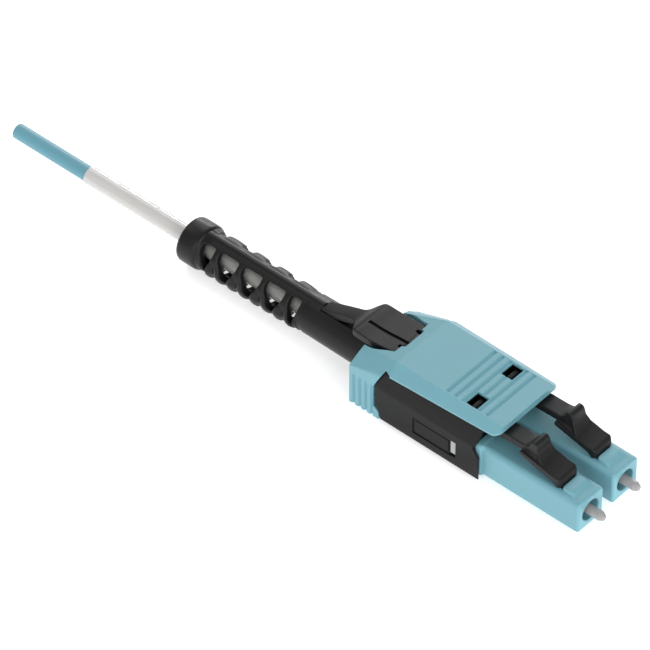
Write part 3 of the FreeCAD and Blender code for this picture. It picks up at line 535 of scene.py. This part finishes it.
# ------------------------------------------------------------------ plug housings
for side, sign in SIDES:
    y0 = PITCH_HALF * sign
    h = loft([(X(16.8), rounded_rect(y0, Z(0), 4.52, 4.52, (0.34, 0.34, 0.66, 0.66))),
              (X(2.07), rounded_rect(y0, Z(0), 4.52, 4.52, (0.34, 0.34, 0.66, 0.66)))])
    round_edges(h, 0.33, 5, 50, lambda m, e: m.x > X(2.1))
    flange = loft([(X(17.2), rounded_rect(y0, Z(0), 5.1, 4.9, (0.35, 0.35, 0.5, 0.5))),
                   (X(16.62), rounded_rect(y0, Z(0), 5.1, 4.9, (0.35, 0.35, 0.5, 0.5))),
                   (X(16.5), rounded_rect(y0, Z(0), 5.04, 4.86, (0.34, 0.34, 0.5, 0.5))),
                   (X(16.12), rounded_rect(y0, Z(0), 4.5, 4.5, (0.33, 0.33, 0.65, 0.65)))])
    barrel = loft([(X(23.7), rounded_rect(y0, Z(0), 4.4, 4.2, (0.2, 0.2, 0.2, 0.2), 3)),
                   (X(17.1), rounded_rect(y0, Z(0), 4.4, 4.2, (0.2, 0.2, 0.2, 0.2), 3))])
    # the raised stop ahead of the latch, sloping down to the nose
    def pad_ring(rear, front, half, r, z):
        pts = []
        for cx, cy, start in ((X(front) - r, half - r, 0), (X(rear) + r, half - r, 90),
                              (X(rear) + r, -half + r, 180), (X(front) - r, -half + r, 270)):
            for k in range(7):
                t = math.radians(start + 15 * k)
                pts.append((cx + r * math.cos(t), y0 + cy + r * math.sin(t), Z(z)))
        return pts
    stop = stack([pad_ring(5.32, 3.1, 1.52, 0.5, 1.9), pad_ring(5.32, 3.12, 1.52, 0.5, 2.24),
                  pad_ring(5.3, 3.3, 1.5, 0.48, 2.36), pad_ring(5.26, 3.62, 1.45, 0.44, 2.56),
                  pad_ring(5.2, 3.82, 1.4, 0.4, 2.64), pad_ring(5.1, 4.05, 1.3, 0.36, 2.67)])
    plus(h, stop, flange, barrel)
    # seat of the latch's pivot
    seat = rod_y(X(5.9), Z(2.0), 0.74, y0 - 1.3, y0 + 1.3, 40)
    well = block(X(6.5), X(5.4), y0 - 1.3, y0 + 1.3, Z(2.0), Z(3.4))
    plus(seat, well)
    minus(h, seat)
    mouth = turned([(X(5.0), 0), (X(1.5), 0), (X(1.5), 1.62), (X(2.07), 1.54), (X(2.17), 1.43),
                    (X(5.0), 1.43)], y0, 72)
    web = rod(X(7.0), X(4.8), 0.85, y0, None, 40)
    chamber = rod(X(24.2), X(6.9), 1.5, y0, None, 56)
    minus(h, mouth, web, chamber)
    tidy(h, 0.3)
    round_edges(h, 0.06, 2, 50, lambda m, e: abs(m.z - Z(2.26)) < 0.02 or (m.z > Z(2.5) and m.x < X(5.2)))
    done(h, "housing_" + side, 40)
    dress(h, "aqua_housing", "core", "plug_housing_" + side)

# ------------------------------------------------------------------ ferrules
for side, sign in SIDES:
    y0 = PITCH_HALF * sign
    pts = [(X(9.1), 0), (X(0.0), 0), (X(0.0), 0.26), (X(0.02), 0.32), (X(0.08), 0.37), (X(0.5), 0.59),
           (X(0.56), 0.615), (X(0.64), 0.624)]
    pts += [(X(9.1), 0.624)]
    f = turned(pts, y0, 56)
    done(f, "ferrule_body_" + side, 50)
    dress(f, "ceramic", "ferrule_" + side[0], "ferrule_" + side)


# ------------------------------------------------------------------ latches
def lerp_table(table, b):
    """Straight interpolation in rows of (b, v1, v2, ...) sorted by b."""
    if b <= table[0][0]:
        return table[0][1:]
    for p, q in zip(table, table[1:]):
        if b <= q[0]:
            t = (b - p[0]) / (q[0] - p[0])
            return tuple(u + (v - u) * t for u, v in zip(p[1:], q[1:]))
    return table[-1][1:]


def smooth_table(rows, n):
    """Rows of (b, v1, ...) run through a Catmull-Rom curve, n steps a span."""
    out = []
    for i in range(len(rows) - 1):
        p0 = rows[max(i - 1, 0)]
        p1, p2 = rows[i], rows[i + 1]
        p3 = rows[min(i + 2, len(rows) - 1)]
        for k in range(n):
            t = k / n
            out.append(tuple(
                0.5 * (2 * p1[j] + (p2[j] - p0[j]) * t
                       + (2 * p0[j] - 5 * p1[j] + 4 * p2[j] - p3[j]) * t * t
                       + (3 * p1[j] - p0[j] - 3 * p2[j] + p3[j]) * t ** 3)
                for j in range(len(p1))))
    out.append(tuple(rows[-1]))
    return out


def section_loft(rows, y0, steps=5, name="work"):
    """Rows of (b, top, bottom, half at the top, half at the foot, corner radius)."""
    secs = []
    for b, top, bottom, wt, wb, r in rows:
        h = top - bottom
        r = min(r, h / 2 - 0.01, wt - 0.01, wb - 0.01)
        pts = rounded_rect(y0, Z((top + bottom) / 2), 2, h, (r, r, r, r), steps)
        scaled = []
        for y, z in pts:
            t = (z - Z(bottom)) / h
            w = wb + (wt - wb) * t
            side = 1.0 if y > y0 else -1.0
            scaled.append((y0 + side * (w - (1.0 - abs(y - y0))), z))
        secs.append((X(b), scaled))
    return loft(secs, name)


def tab_ring(y0, half, top, level, flare, low, r=0.13):
    """Section of the thumb tab: upright sides that run out in a hollow onto the plate."""
    right = [(half + flare, low), (half + flare, level)]
    for k in range(1, 7):
        a = math.radians(15 * k)
        right.append((half + flare * (1 - math.sin(a)), level + flare * (1 - math.cos(a))))
    r = min(r, max(0.01, (top - level - flare) * 0.8))
    for k in range(5):
        a = math.radians(22.5 * k)
        right.append((half - r + r * math.cos(a), top - r + r * math.sin(a)))
    pts = [(y0 + y, Z(z)) for y, z in right]
    return pts + [(y0 - y, Z(z)) for y, z in reversed(right)]


def make_latch(side, sign):
    y0 = PITCH_HALF * sign
    w = 1.66
    plate = prism([(X(5.5), Z(2.33)), (X(5.36), Z(2.5)), (X(5.3), Z(2.8)), (X(5.38), Z(3.15)),
                   (X(5.56), Z(3.5)), (X(5.85), Z(3.66)), (X(6.7), Z(3.72)), (X(8.3), Z(4.08)),
                   (X(9.5), Z(4.32)), (X(10.6), Z(4.5)), (X(11.3), Z(4.6)), (X(11.46), Z(4.48)),
                   (X(11.5), Z(4.15)), (X(11.38), Z(3.98)), (X(10.6), Z(3.8)), (X(8.5), Z(3.34)),
                   (X(6.7), Z(2.9)), (X(6.3), Z(2.76)), (X(6.05), Z(2.55)), (X(5.95), Z(2.33))],
                  "Y", y0 - w, y0 + w)
    for s in (1, -1):
        minus(plate, prism([(X(4.2), y0 + s * (w - 0.42)), (X(5.2), y0 + s * (w - 0.42)),
                            (X(5.8), y0 + s * (w + 0.02)), (X(5.8), y0 + s * 4), (X(4.2), y0 + s * 4)],
                           "Z", Z(1.0), Z(4.2)))
    tidy(plate, 0.3)
    round_edges(plate, 0.15, 3, 34)
    roll = rod_y(X(5.9), Z(2.0), 0.68, y0 - 1.2, y0 + 1.2, 40)
    round_edges(roll, 0.1, 2, 60)
    plus(plate, roll)
    rows = [(8.28, 1.545, 4.085, 0.03), (8.42, 1.50, 4.26, 0.06), (8.6, 1.44, 4.52, 0.12),
            (8.8, 1.36, 4.83, 0.20), (8.98, 1.27, 5.12, 0.30), (9.1, 1.20, 5.38, 0.38),
            (9.17, 1.165, 5.68, 0.42), (9.24, 1.15, 6.0, 0.43), (9.34, 1.15, 6.26, 0.43),
            (9.5, 1.15, 6.43, 0.42), (9.75, 1.15, 6.5, 0.40), (10.0, 1.15, 6.47, 0.37),
            (10.16, 1.15, 6.34, 0.34), (10.28, 1.15, 6.1, 0.31), (10.4, 1.15, 5.82, 0.28),
            (10.54, 1.15, 5.62, 0.25), (10.72, 1.15, 5.49, 0.22), (10.95, 1.15, 5.4, 0.2),
            (11.25, 1.15, 5.34, 0.16), (11.45, 1.15, 5.32, 0.12)]
    rings = []
    for b, half, top, flare in smooth_table(rows, 2):
        level = lerp_table([(8.2, 4.05), (8.3, 4.07), (9.5, 4.31), (10.6, 4.49), (11.5, 4.6)], b)[0]
        rings.append((X(b), tab_ring(y0, half, max(top, level + 0.03), level - 0.015, flare, level - 0.35)))
    tab = loft(rings)
    arm = section_loft(smooth_table([
        (10.9, 5.38, 4.3, 1.15, 1.15, 0.16), (11.45, 5.32, 4.3, 1.15, 1.15, 0.18),
        (12.4, 5.3, 4.28, 1.15, 1.15, 0.18), (13.9, 5.28, 4.25, 1.15, 1.15, 0.18),
        (15.2, 5.12, 4.22, 1.15, 1.15, 0.15), (16.4, 4.92, 4.2, 1.2, 1.2, 0.12),
        (19.5, 4.9, 4.2, 1.25, 1.25, 0.12)], 3), y0)
    tooth = prism([(X(18.2), Z(4.7)), (X(19.5), Z(4.7)), (X(19.5), Z(5.68)), (X(19.44), Z(5.74)),
                   (X(19.0), Z(5.74)), (X(18.9), Z(5.7)), (X(18.3), Z(4.92))], "Y", y0 - 0.95, y0 + 0.95)
    round_edges(tooth, 0.05, 2, 60)
    plus(plate, tab, arm, tooth)
    tidy(plate, 0.2)
    done(plate, "latch_moulding_" + side, 33)
    dress(plate, "black_latch", "latch_" + side[0], "latch_" + side)


for side, sign in SIDES:
    make_latch(side, sign)

# ------------------------------------------------------------------ body
W = 6.2
base = prism([(-W + 0.35, Z(-2.67)), (W - 0.35, Z(-2.67)), (W - 0.1, Z(-2.57)), (W, Z(-2.32)),
              (W, Z(2.34)), (-W, Z(2.34)), (-W, Z(-2.32)), (-W + 0.1, Z(-2.57))],
             "X", X(32.0), X(16.42))
# front wall behind the side lips
minus(base, prism([(X(17.25), Z(-4)), (X(15.5), Z(-4)), (X(15.5), Z(4)), (X(17.25), Z(4))],
                  "Y", -5.9, 5.9))
for s in (1, -1):
    # the lips' V notch and the small step under the cover's rear lip
    minus(base, prism([(X(16.1), Z(0.42)), (X(17.25), Z(1.95)), (X(17.25), Z(3.5)), (X(15.8), Z(3.5)),
                       (X(15.8), Z(0.42))], "Y", s * 6.05 - 0.4, s * 6.05 + 0.4))
    minus(base, prism([(X(32.4), Z(-0.8)), (X(31.95), Z(-0.8)), (X(31.35), Z(-1.4)), (X(31.2), Z(-3)),
                       (X(32.4), Z(-3))], "Y", s * 6.1 - 0.55, s * 6.1 + 0.55))
    minus(base, prism([(X(32.2), Z(-2.0)), (X(30.9), Z(-3.0)), (X(32.2), Z(-3.0))],
                      "Y", s * 6.1 - 0.9, s * 6.1 + 0.9))
neck = block(X(34.0), X(31.9), -5.0, 5.0, Z(-1.7), Z(2.34))
plus(base, neck)
for sign in (1, -1):
    y0 = PITCH_HALF * sign
    minus(base, block(X(24.5), X(15.0), y0 - 2.23, y0 + 2.23, Z(-2.13), Z(3)))
minus(base, block(X(31.0), X(24.4), -4.9, 4.9, Z(-2.0), Z(3)))
minus(base, block(X(35), X(30.5), -1.52, 1.52, Z(0), Z(3)))
minus(base, rod(X(35), X(30.5), 1.52, 0, None, 40))
# indicator windows, sunk label panels with a line frame
for s in (1, -1):
    minus(base, block(X(20.75), X(19.75), s * 6.6, s * 5.0, Z(-1.2), Z(1.2)))
    minus(base, block(X(26.25), X(20.2), s * 6.6, s * 6.09, Z(-1.3), Z(1.12)))
    plus(base, block(X(25.95), X(20.9), s * 6.16, s * 6.0, Z(-1.0), Z(0.85)))
tidy(base, 0.2)
round_edges(base, 0.07, 2, 40, lambda m, e: e.calc_length() > 0.8 and abs(m.y) > 5.2)
done(base, "base_moulding", 30)
dress(base, "black_body", "core", "body_base")

lid = loft([(X(32.0), [(-W, Z(2.34)), (W, Z(2.34)), (6.12, Z(2.75)), (5.5, Z(5.0)), (5.2, Z(5.32)),
                       (-5.2, Z(5.32)), (-5.5, Z(5.0)), (-6.12, Z(2.75))]),
            (X(16.2), [(-W, Z(2.34)), (W, Z(2.34)), (6.12, Z(2.75)), (5.5, Z(5.0)), (5.2, Z(5.32)),
                       (-5.2, Z(5.32)), (-5.5, Z(5.0)), (-6.12, Z(2.75))])])
minus(lid, prism([(X(30.1), Z(5.35)), (X(30.1), Z(7)), (X(32.5), Z(7)), (X(32.5), Z(4.53))],
                 "Y", -7, 7))
for s in (1, -1):
    minus(lid, prism([(X(30.6), Z(5.9)), (X(30.75), Z(5.2)), (X(31.9), Z(2.8)), (X(32.02), Z(2.2)),
                      (X(33), Z(2.2)), (X(33), Z(5.9))], "Y", s * 6.02 - 0.5, s * 6.02 + 0.5))
    # front edge of the side walls slants forward
    minus(lid, prism([(X(17.4), Z(2.0)), (X(17.2), Z(2.0)), (X(16.1), Z(5.4)), (X(15.9), Z(5.8)),
                      (X(15.5), Z(2.0))], "Y", s * 5.9 - 0.75, s * 5.9 + 0.75))
minus(lid, block(X(17.25), X(15.5), -5.3, 5.3, Z(2), Z(6)))
plus(lid, block(X(34.0), X(31.9), -5.0, 5.0, Z(2.34), Z(3.5)))
for sign in (1, -1):
    y0 = PITCH_HALF * sign
    minus(lid, block(X(20.8), X(15.0), y0 - 1.45, y0 + 1.45, Z(2.75), Z(6)))
minus(lid, prism([(-1.1, Z(4.0)), (1.1, Z(4.0)), (1.1, Z(4.75)), (0.55, Z(4.75)), (0.55, Z(6)),
                  (-0.55, Z(6)), (-0.55, Z(4.75)), (-1.1, Z(4.75))], "X", X(33), X(15)))
for s in (1, -1):
    minus(lid, prism([(s * 5.52, Z(3.9)), (s * 5.32, Z(4.42)), (s * 4.95, Z(4.7)), (s * 4.95, Z(7)),
                      (s * 7, Z(7)), (s * 7, Z(3.9))], "X", X(32.6), X(31.45)))
    bm = bmesh.new()
    outer = [bm.verts.new(p) for p in ((X(31.5), s * 6.19, Z(2.78)), (X(30.75), s * 5.72, Z(4.85)),
                                       (X(29.75), s * 5.55, Z(4.85)), (X(30.4), s * 6.13, Z(2.78)))]
    inner = [bm.verts.new((v.co.x, v.co.y - s * 0.5, v.co.z)) for v in outer]
    bm.faces.new(outer)
    bm.faces.new(list(reversed(inner)))
    for i in range(4):
        bm.faces.new((outer[i], outer[(i + 1) % 4], inner[(i + 1) % 4], inner[i]))
    bmesh.ops.recalc_face_normals(bm, faces=bm.faces)
    plus(lid, from_bmesh("facet", bm))
tidy(lid, 0.2)
round_edges(lid, 0.08, 2, 32, lambda m, e: e.calc_length() > 0.7 and abs(m.y) > 5.0)
done(lid, "lid_moulding", 26)
dress(lid, "black_body", "core", "body_lid")

# ------------------------------------------------------------------ outer cover
def plate_points(half, foot_low, foot_up, crest, top, inner, under):
    return [(-inner, Z(under)), (inner, Z(under)), (half, Z(foot_low)), (half, Z(foot_up)),
            (crest, Z(top)), (-crest, Z(top)), (-half, Z(foot_up)), (-half, Z(foot_low))]


plate = loft([(X(30.1), plate_points(5.98, 4.92, 5.16, 4.5, 6.4, 5.45, 5.5)),
              (X(14.1), plate_points(5.52, 5.26, 5.5, 4.5, 6.4, 5.25, 5.5))])
hood = loft([(X(36.0), [(-6.2, Z(-2.67)), (6.2, Z(-2.67)), (6.2, Z(2.8)), (6.19, Z(2.82)), (4.4, Z(4.25)),
                        (3.49, Z(4.6)), (-3.49, Z(4.6)), (-4.4, Z(4.25)), (-6.19, Z(3.31)),
                        (-6.2, Z(3.3))]),
             (X(30.1), [(-6.2, Z(-2.67)), (6.2, Z(-2.67)), (6.2, Z(4.72)), (5.98, Z(5.16)), (4.5, Z(6.4)),
                        (4.48, Z(6.4)), (-4.48, Z(6.4)), (-4.5, Z(6.4)), (-5.98, Z(5.16)),
                        (-6.2, Z(4.72))])])
plus(plate, hood)
tidy(plate, 0.3)
cover = plate
# soft outer edges before the openings are cut
round_edges(cover, 0.2, 4, 8, lambda m, e: (m.z - AXIS) > 2.9)
round_edges(cover, 0.25, 4, 60, lambda m, e: (m.z - AXIS) < 2.9)
# inside ahead of the block
minus(cover, prism([(X(31.6), Z(-4)), (X(30.08), Z(-4)), (X(30.08), Z(5.5)), (X(30.1), Z(5.5)),
                    (X(31.5), Z(4.98)), (X(31.6), Z(4.95))], "Y", -5.55, 5.33))
minus(cover, prism([(X(31.6), Z(-4)), (X(30.08), Z(-4)), (X(30.08), Z(5.3)), (X(30.1), Z(5.3)),
                    (X(31.5), Z(4.78)), (X(31.6), Z(4.75))], "Y", 5.3, 5.55))
minus(cover, prism([(-5.62, Z(-4)), (5.62, Z(-4)), (5.6, Z(3.9)), (5.4, Z(4.5)), (5.0, Z(4.8)),
                    (-5.0, Z(4.8)), (-5.4, Z(4.5)), (-5.6, Z(3.9))], "X", X(32.3), X(31.55)))
for s in (1, -1):
    side_cut = prism([(X(31.45), Z(-4)), (X(30.0), Z(-4)), (X(30.0), Z(5.2)), (X(30.8), Z(5.22)),
                      (X(30.95), Z(5.12)), (X(32.15), Z(2.62)), (X(32.3), Z(2.1)),
                      (X(32.3), Z(-0.95)), (X(32.1), Z(-1.12)), (X(31.68), Z(-1.42)),
                      (X(31.5), Z(-1.75))], "Y", s * 6.1 - 0.6, s * 6.1 + 0.6)
    minus(cover, side_cut)
minus(cover, block(X(35.1), X(32.0), -5.2, 5.2, Z(-2.1), Z(3.75)))
minus(cover, rod(X(36.5), X(34.9), 2.72, 0, None, 56))
# notch for the release button, with a lowered cheek on each side
notch = prism([(X(36.6), -3.4), (X(35.95), -3.49), (X(35.3), -3.62), (X(34.8), -3.68), (X(34.3), -3.64),
               (X(33.6), -3.46), (X(32.8), -3.22), (X(31.9), -3.06), (X(31.75), -2.95), (X(31.75), -1.85), (X(31.3), -1.72),
               (X(31.25), -1.6), (X(31.25), 1.6), (X(31.3), 1.72), (X(31.75), 1.85),
               (X(31.75), 2.95), (X(31.9), 3.06), (X(32.8), 3.22), (X(33.6), 3.46), (X(34.3), 3.64),
               (X(34.8), 3.68), (X(35.3), 3.62), (X(35.95), 3.49), (X(36.6), 3.4)], "Z", Z(3.3), Z(7))
minus(cover, notch)
# front corners rounded in plan
for s in (1, -1):
    pts = [(X(13.5), s * 4.6), (X(14.1), s * 4.62)]
    for k in range(9):
        t = math.radians(90 * k / 8)
        pts.append((X(14.1) - 0.9 * (1 - math.cos(t - 0)) * 1.0, s * (4.62 + 0.9 * math.sin(t))))
    pts += [(X(15.0), s * 6.4), (X(13.5), s * 6.4)]
    minus(cover, prism(pts, "Z", Z(4.8), Z(7)))
# latch windows with a chamfered rim
for sign in (1, -1):
    y0 = PITCH_HALF * sign
    win = block(X(19.98), X(18.3), y0 - 1.1, y0 + 1.1, Z(5.0), Z(7))
    below = block(X(20.5), X(18.0), y0 - 1.5, y0 + 1.5, Z(5.0), Z(6.1))
    bm = bmesh.new()
    lo = [bm.verts.new(p) for p in ((X(19.98), y0 - 1.1, Z(6.3)), (X(18.3), y0 - 1.1, Z(6.3)),
                                    (X(18.3), y0 + 1.1, Z(6.3)), (X(19.98), y0 + 1.1, Z(6.3)))]
    hi = [bm.verts.new(p) for p in ((X(20.06), y0 - 1.18, Z(6.42)), (X(18.22), y0 - 1.18, Z(6.42)),
                                    (X(18.22), y0 + 1.18, Z(6.42)), (X(20.06), y0 + 1.18, Z(6.42)))]
    bm.faces.new(lo)
    bm.faces.new(list(reversed(hi)))
    for i in range(4):
        bm.faces.new((lo[i], lo[(i + 1) % 4], hi[(i + 1) % 4], hi[i]))
    rim = from_bmesh("rim", bm)
    minus(cover, win, below, rim)
# finger grooves: shallow valleys across the flat
for i in range(6):
    mid = 16.78 + 1.18 * i
    pts = []
    for k in range(11):
        t = -1 + 2 * k / 10
        pts.append((X(mid) + 0.34 * t, Z(6.4) - 0.185 * (1 + math.cos(math.pi * t)) / 2 + 0.004))
    pts = [(X(mid) - 0.36, Z(6.6))] + pts + [(X(mid) + 0.36, Z(6.6))]
    minus(cover, prism(pts, "Y", -4.32, 4.32))
# grip waves down the sides of the block
for s in (1, -1):
    def wave(z, deep):
        pts = []
        for k in range(61):
            b = 35.82 - 3.5 * k / 60
            v = max(0.0, math.cos(2 * math.pi * (b - 35.33) / 0.93))
            pts.append((X(b), s * (6.2 + 0.004 - deep * v ** 0.8)))
        pts += [(X(32.32), s * 6.9), (X(35.82), s * 6.9)]
        return [(x, y, z) for x, y in pts]

    bm = bmesh.new()
    rings = []
    for z, deep in ((Z(-3.0), 0.24), (Z(1.7), 0.24), (Z(2.05), 0.17), (Z(2.35), 0.0)):
        rings.append([bm.verts.new(p) for p in wave(z, deep)])
    bm.faces.new(rings[0])
    bm.faces.new(list(reversed(rings[-1])))
    for r, q in zip(rings, rings[1:]):
        for i in range(len(r)):
            bm.faces.new((r[i], r[(i + 1) % len(r)], q[(i + 1) % len(r)], q[i]))
    minus(cover, from_bmesh("waves", bm))
tidy(cover, 0.15)
done(cover, "cover_moulding", 24)
dress(cover, "aqua_cover", "slider", "outer_cover")

# ------------------------------------------------------------------ boot
lattice = turned([(X(63.9), 1.75), (X(46.6), 1.75), (X(46.6), 2.46), (X(62.6), 2.5), (X(63.4), 2.72),
                  (X(63.9), 2.8)], 0, 96)


def outline_cut(points, y0, y1):
    return prism([(X(b), Z(z)) for b, z in points], "Y", y0, y1)


def side_slot(mid, half, near):
    """A slot in the side: wide under the spine, drawn to a point under the tube."""
    if near:
        half_at = [(2.15, half), (1.55, half), (1.0, half * 0.86), (0.2, half * 0.52),
                   (-0.6, half * 0.24), (-1.3, 0.12), (-1.85, 0.09)]
        shift = -0.18
    else:
        half_at = [(2.15, half * 0.55), (1.4, half * 0.6), (0.8, half * 0.85), (0.2, half * 0.6),
                   (-0.6, half * 0.26), (-1.3, 0.12), (-1.85, 0.09)]
        shift = 0.0
    rear = [(mid + w + shift * (2.15 - z) / 4, z) for z, w in half_at]
    front = [(mid - w + shift * (2.15 - z) / 4, z) for z, w in reversed(half_at)]
    return outline_cut(rear + front, -3.4 if near else 0.3, -0.3 if near else 3.4)


def foot_slot(mid):
    """A slot across the underside, drawn to a point up each side."""
    half_at = [(-2.3, 0.08), (-2.0, 0.16), (-1.3, 0.42), (0.0, 0.55), (1.3, 0.42), (2.0, 0.16), (2.3, 0.08)]
    pts = [(X(mid + w), y) for y, w in half_at] + [(X(mid - w), y) for y, w in reversed(half_at)]
    return prism(pts, "Z", Z(-3.4), Z(-0.95))


for k in range(3):
    minus(lattice, side_slot(59.13 - 3.67 * k, 1.46, True))
for k in range(4):
    minus(lattice, side_slot(62.1 - 3.67 * k if k else 62.3, 1.46 if k else 0.9, False))
minus(lattice, side_slot(62.28, 0.88, True), side_slot(48.62, 0.78, True))
for k in range(7):
    c = 60.96 - 3.67 * k / 2
    if k % 2 == 0:
        minus(lattice, foot_slot(c))
m = lattice.modifiers.new("r", "REMESH")
m.mode = "VOXEL"
m.voxel_size = 0.07
baked(lattice)
m = lattice.modifiers.new("s", "SMOOTH")
m.factor = 0.5
m.iterations = 24
baked(lattice)


def arch(u):
    """Round arch over each unit step, zero at the whole numbers."""
    f = u - math.floor(u)
    return math.sqrt(max(0.0, 1 - (2 * f - 1) ** 2)) - 0.55


for v in lattice.data.vertices:
    r = math.hypot(v.co.y, v.co.z - AXIS)
    b = TIP - v.co.x
    if r < 2.0 or b > 62.9 or b < 47.6:
        continue
    low = min(1.0, max(0.0, -(v.co.y * 0.3 + (v.co.z - AXIS)) / r * 2.2))
    low = max(low, min(1.0, max(0.0, (-0.2 - (v.co.z - AXIS) / r) * 3)))
    far = min(1.0, max(0.0, (v.co.y / r - 0.25) * 2.5)) * (1 - low)
    grow = low * (arch((b - 57.14) / 1.835) * 0.78 + 0.04) + far * (arch((b - 58.9) / 3.67) * 0.32 + 0.08)
    k = 1 + grow * min(1.0, (r - 2.0) / 0.3) / r
    v.co.y *= k
    v.co.z = AXIS + (v.co.z - AXIS) * k
m = lattice.modifiers.new("s", "SMOOTH")
m.factor = 0.5
m.iterations = 2
baked(lattice)
m = lattice.modifiers.new("d", "DECIMATE")
m.ratio = 0.42
baked(lattice)
print("lattice faces", len(lattice.data.polygons))

boot = turned([(X(66.4), 1.30), (X(66.4), 2.72), (X(66.32), 2.86), (X(66.14), 2.95), (X(65.9), 2.98),
               (X(64.15), 2.98), (X(63.85), 2.96), (X(63.62), 2.88), (X(63.5), 2.74), (X(63.5), 1.6),
               (X(64.3), 1.30)], 0, 96)
tube = turned([(X(47.0), 1.72), (X(43.4), 1.75), (X(43.0), 2.05), (X(34.6), 2.05), (X(34.6), 2.35),
               (X(35.95), 2.35), (X(35.95), 2.69), (X(36.6), 2.69), (X(40.0), 2.67), (X(44.0), 2.63),
               (X(46.85), 2.59), (X(47.02), 2.45)], 0, 96)
front_plate = block(X(35.05), X(34.25), -5.05, 5.05, Z(-1.8), Z(3.55))
minus(front_plate, rod(X(36), X(33), 2.06, 0, None, 64))
plus(tube, front_plate)
plus(boot, lattice, tube)
spine = section_loft([(64.9, 2.62, 2.0, 0.3, 0.62, 0.15), (64.2, 2.76, 2.0, 0.44, 0.64, 0.3),
                      (63.2, 2.82, 2.0, 0.5, 0.68, 0.4), (54.0, 2.82, 2.0, 0.5, 0.68, 0.4),
                      (45.25, 2.82, 2.0, 0.5, 0.68, 0.4), (44.95, 2.7, 2.0, 0.42, 0.6, 0.25)], 0)
plus(boot, spine)
minus(boot, block(X(45.05), X(35.9), -1.02, 1.02, Z(2.28), Z(4.0)))
done(boot, "boot_moulding", 38)
dress(boot, "black_boot", "slider", "boot")

# ------------------------------------------------------------------ release button
rows = [(44.9, 2.72, 2.3, 0.82, 0.9, 0.06), (44.2, 2.93, 2.32, 0.86, 0.94, 0.07),
        (43.2, 3.28, 2.36, 0.9, 0.98, 0.08), (42.2, 3.65, 2.62, 0.93, 1.0, 0.09),
        (41.2, 4.03, 2.98, 0.96, 1.02, 0.1), (40.4, 4.3, 3.34, 1.0, 1.06, 0.12),
        (39.9, 4.46, 3.6, 1.06, 1.15, 0.15), (39.5, 4.6, 3.8, 1.25, 1.35, 0.18),
        (39.15, 4.75, 3.95, 1.66, 1.75, 0.2), (38.85, 4.89, 4.05, 2.2, 2.28, 0.2),
        (38.55, 5.03, 4.1, 2.64, 2.7, 0.2), (38.25, 5.15, 4.13, 2.88, 2.9, 0.18),
        (37.9, 5.22, 4.15, 2.95, 2.95, 0.16), (37.2, 5.22, 4.15, 2.97, 2.97, 0.14),
        (36.0, 5.18, 4.16, 2.98, 2.97, 0.13), (34.5, 5.24, 4.2, 2.96, 2.95, 0.13),
        (33.2, 5.4, 4.35, 2.92, 2.92, 0.13), (31.95, 5.5, 4.6, 2.86, 2.86, 0.13)]
button = section_loft(smooth_table(rows, 4), 0, 6)
tongue = section_loft([(33.0, 5.38, 4.7, 1.3, 1.3, 0.04), (31.4, 5.5, 4.75, 1.3, 1.3, 0.04)], 0, 3)
plus(button, tongue)
for s in (1, -1):
    minus(button, block(X(32.4), X(31.5), s * 1.34, s * 1.86, Z(4.2), Z(6)))
minus(button, prism([(X(37.75), Z(4.95)), (X(36.0), Z(4.88)), (X(34.5), Z(4.94)), (X(31.2), Z(5.2)),
                     (X(31.2), Z(6.2)), (X(37.75), Z(6.0))], "Y", -0.9, -0.43))
tidy(button, 0.05)
done(button, "button_moulding", 35)
dress(button, "black_boot", "button", "release_button")

# ------------------------------------------------------------------ floor and light
def stage_mesh(name, verts, faces, mat):
    me = bpy.data.meshes.new(name)
    me.from_pydata(verts, [], faces)
    ob = bpy.data.objects.new(name, me)
    bpy.context.scene.collection.objects.link(ob)
    me.materials.append(mat)
    return ob


floor_mat = bpy.data.materials.new("floor")
floor_mat.use_nodes = True
fb = floor_mat.node_tree.nodes["Principled BSDF"]
fb.inputs["Base Color"].default_value = (0.9, 0.9, 0.9, 1)
fb.inputs["Roughness"].default_value = 0.9
fb.inputs["Specular IOR Level"].default_value = 0.1
fb.inputs["Emission Color"].default_value = (1, 1, 1, 1)
fb.inputs["Emission Strength"].default_value = 0.5
stage_mesh("floor", [(-3, -3, -0.0002), (3, -3, -0.0002), (3, 3, -0.0002), (-3, 3, -0.0002)],
           [(0, 1, 2, 3)], floor_mat)


def area(name, direction, dist, size, power, color=(1, 1, 1)):
    li = bpy.data.lights.new(name, "AREA")
    li.shape = "RECTANGLE"
    li.size, li.size_y = size
    li.energy = power
    li.color = color
    ob = bpy.data.objects.new(name, li)
    bpy.context.scene.collection.objects.link(ob)
    d = Vector(direction).normalized()
    ob.location = d * dist
    ob.rotation_euler = (-d).to_track_quat("-Z", "Y").to_euler()
    return ob


area("key", (1.0, -0.25, 0.55), 0.9, (0.8, 0.8), 4.4)
area("side", (0.05, -1.0, 0.5), 0.9, (0.8, 0.8), 2.7)
area("back", (-0.4627, 0.5363, 0.706), 0.9, (0.42, 0.42), 1.15)
area("rim", (-0.463, 0.83, 0.27), 0.9, (0.5, 0.14), 2.6)
area("axis", (-0.69, 0.0, 0.71), 0.9, (0.22, 0.22), 0.6)
world = bpy.data.worlds.new("world")
bpy.context.scene.world = world
world.use_nodes = True
world.node_tree.nodes["Background"].inputs["Color"].default_value = (1, 1, 1, 1)
world.node_tree.nodes["Background"].inputs["Strength"].default_value = 0.42
bpy.context.scene.view_settings.view_transform = "Standard"
bpy.context.scene.view_settings.look = "None"
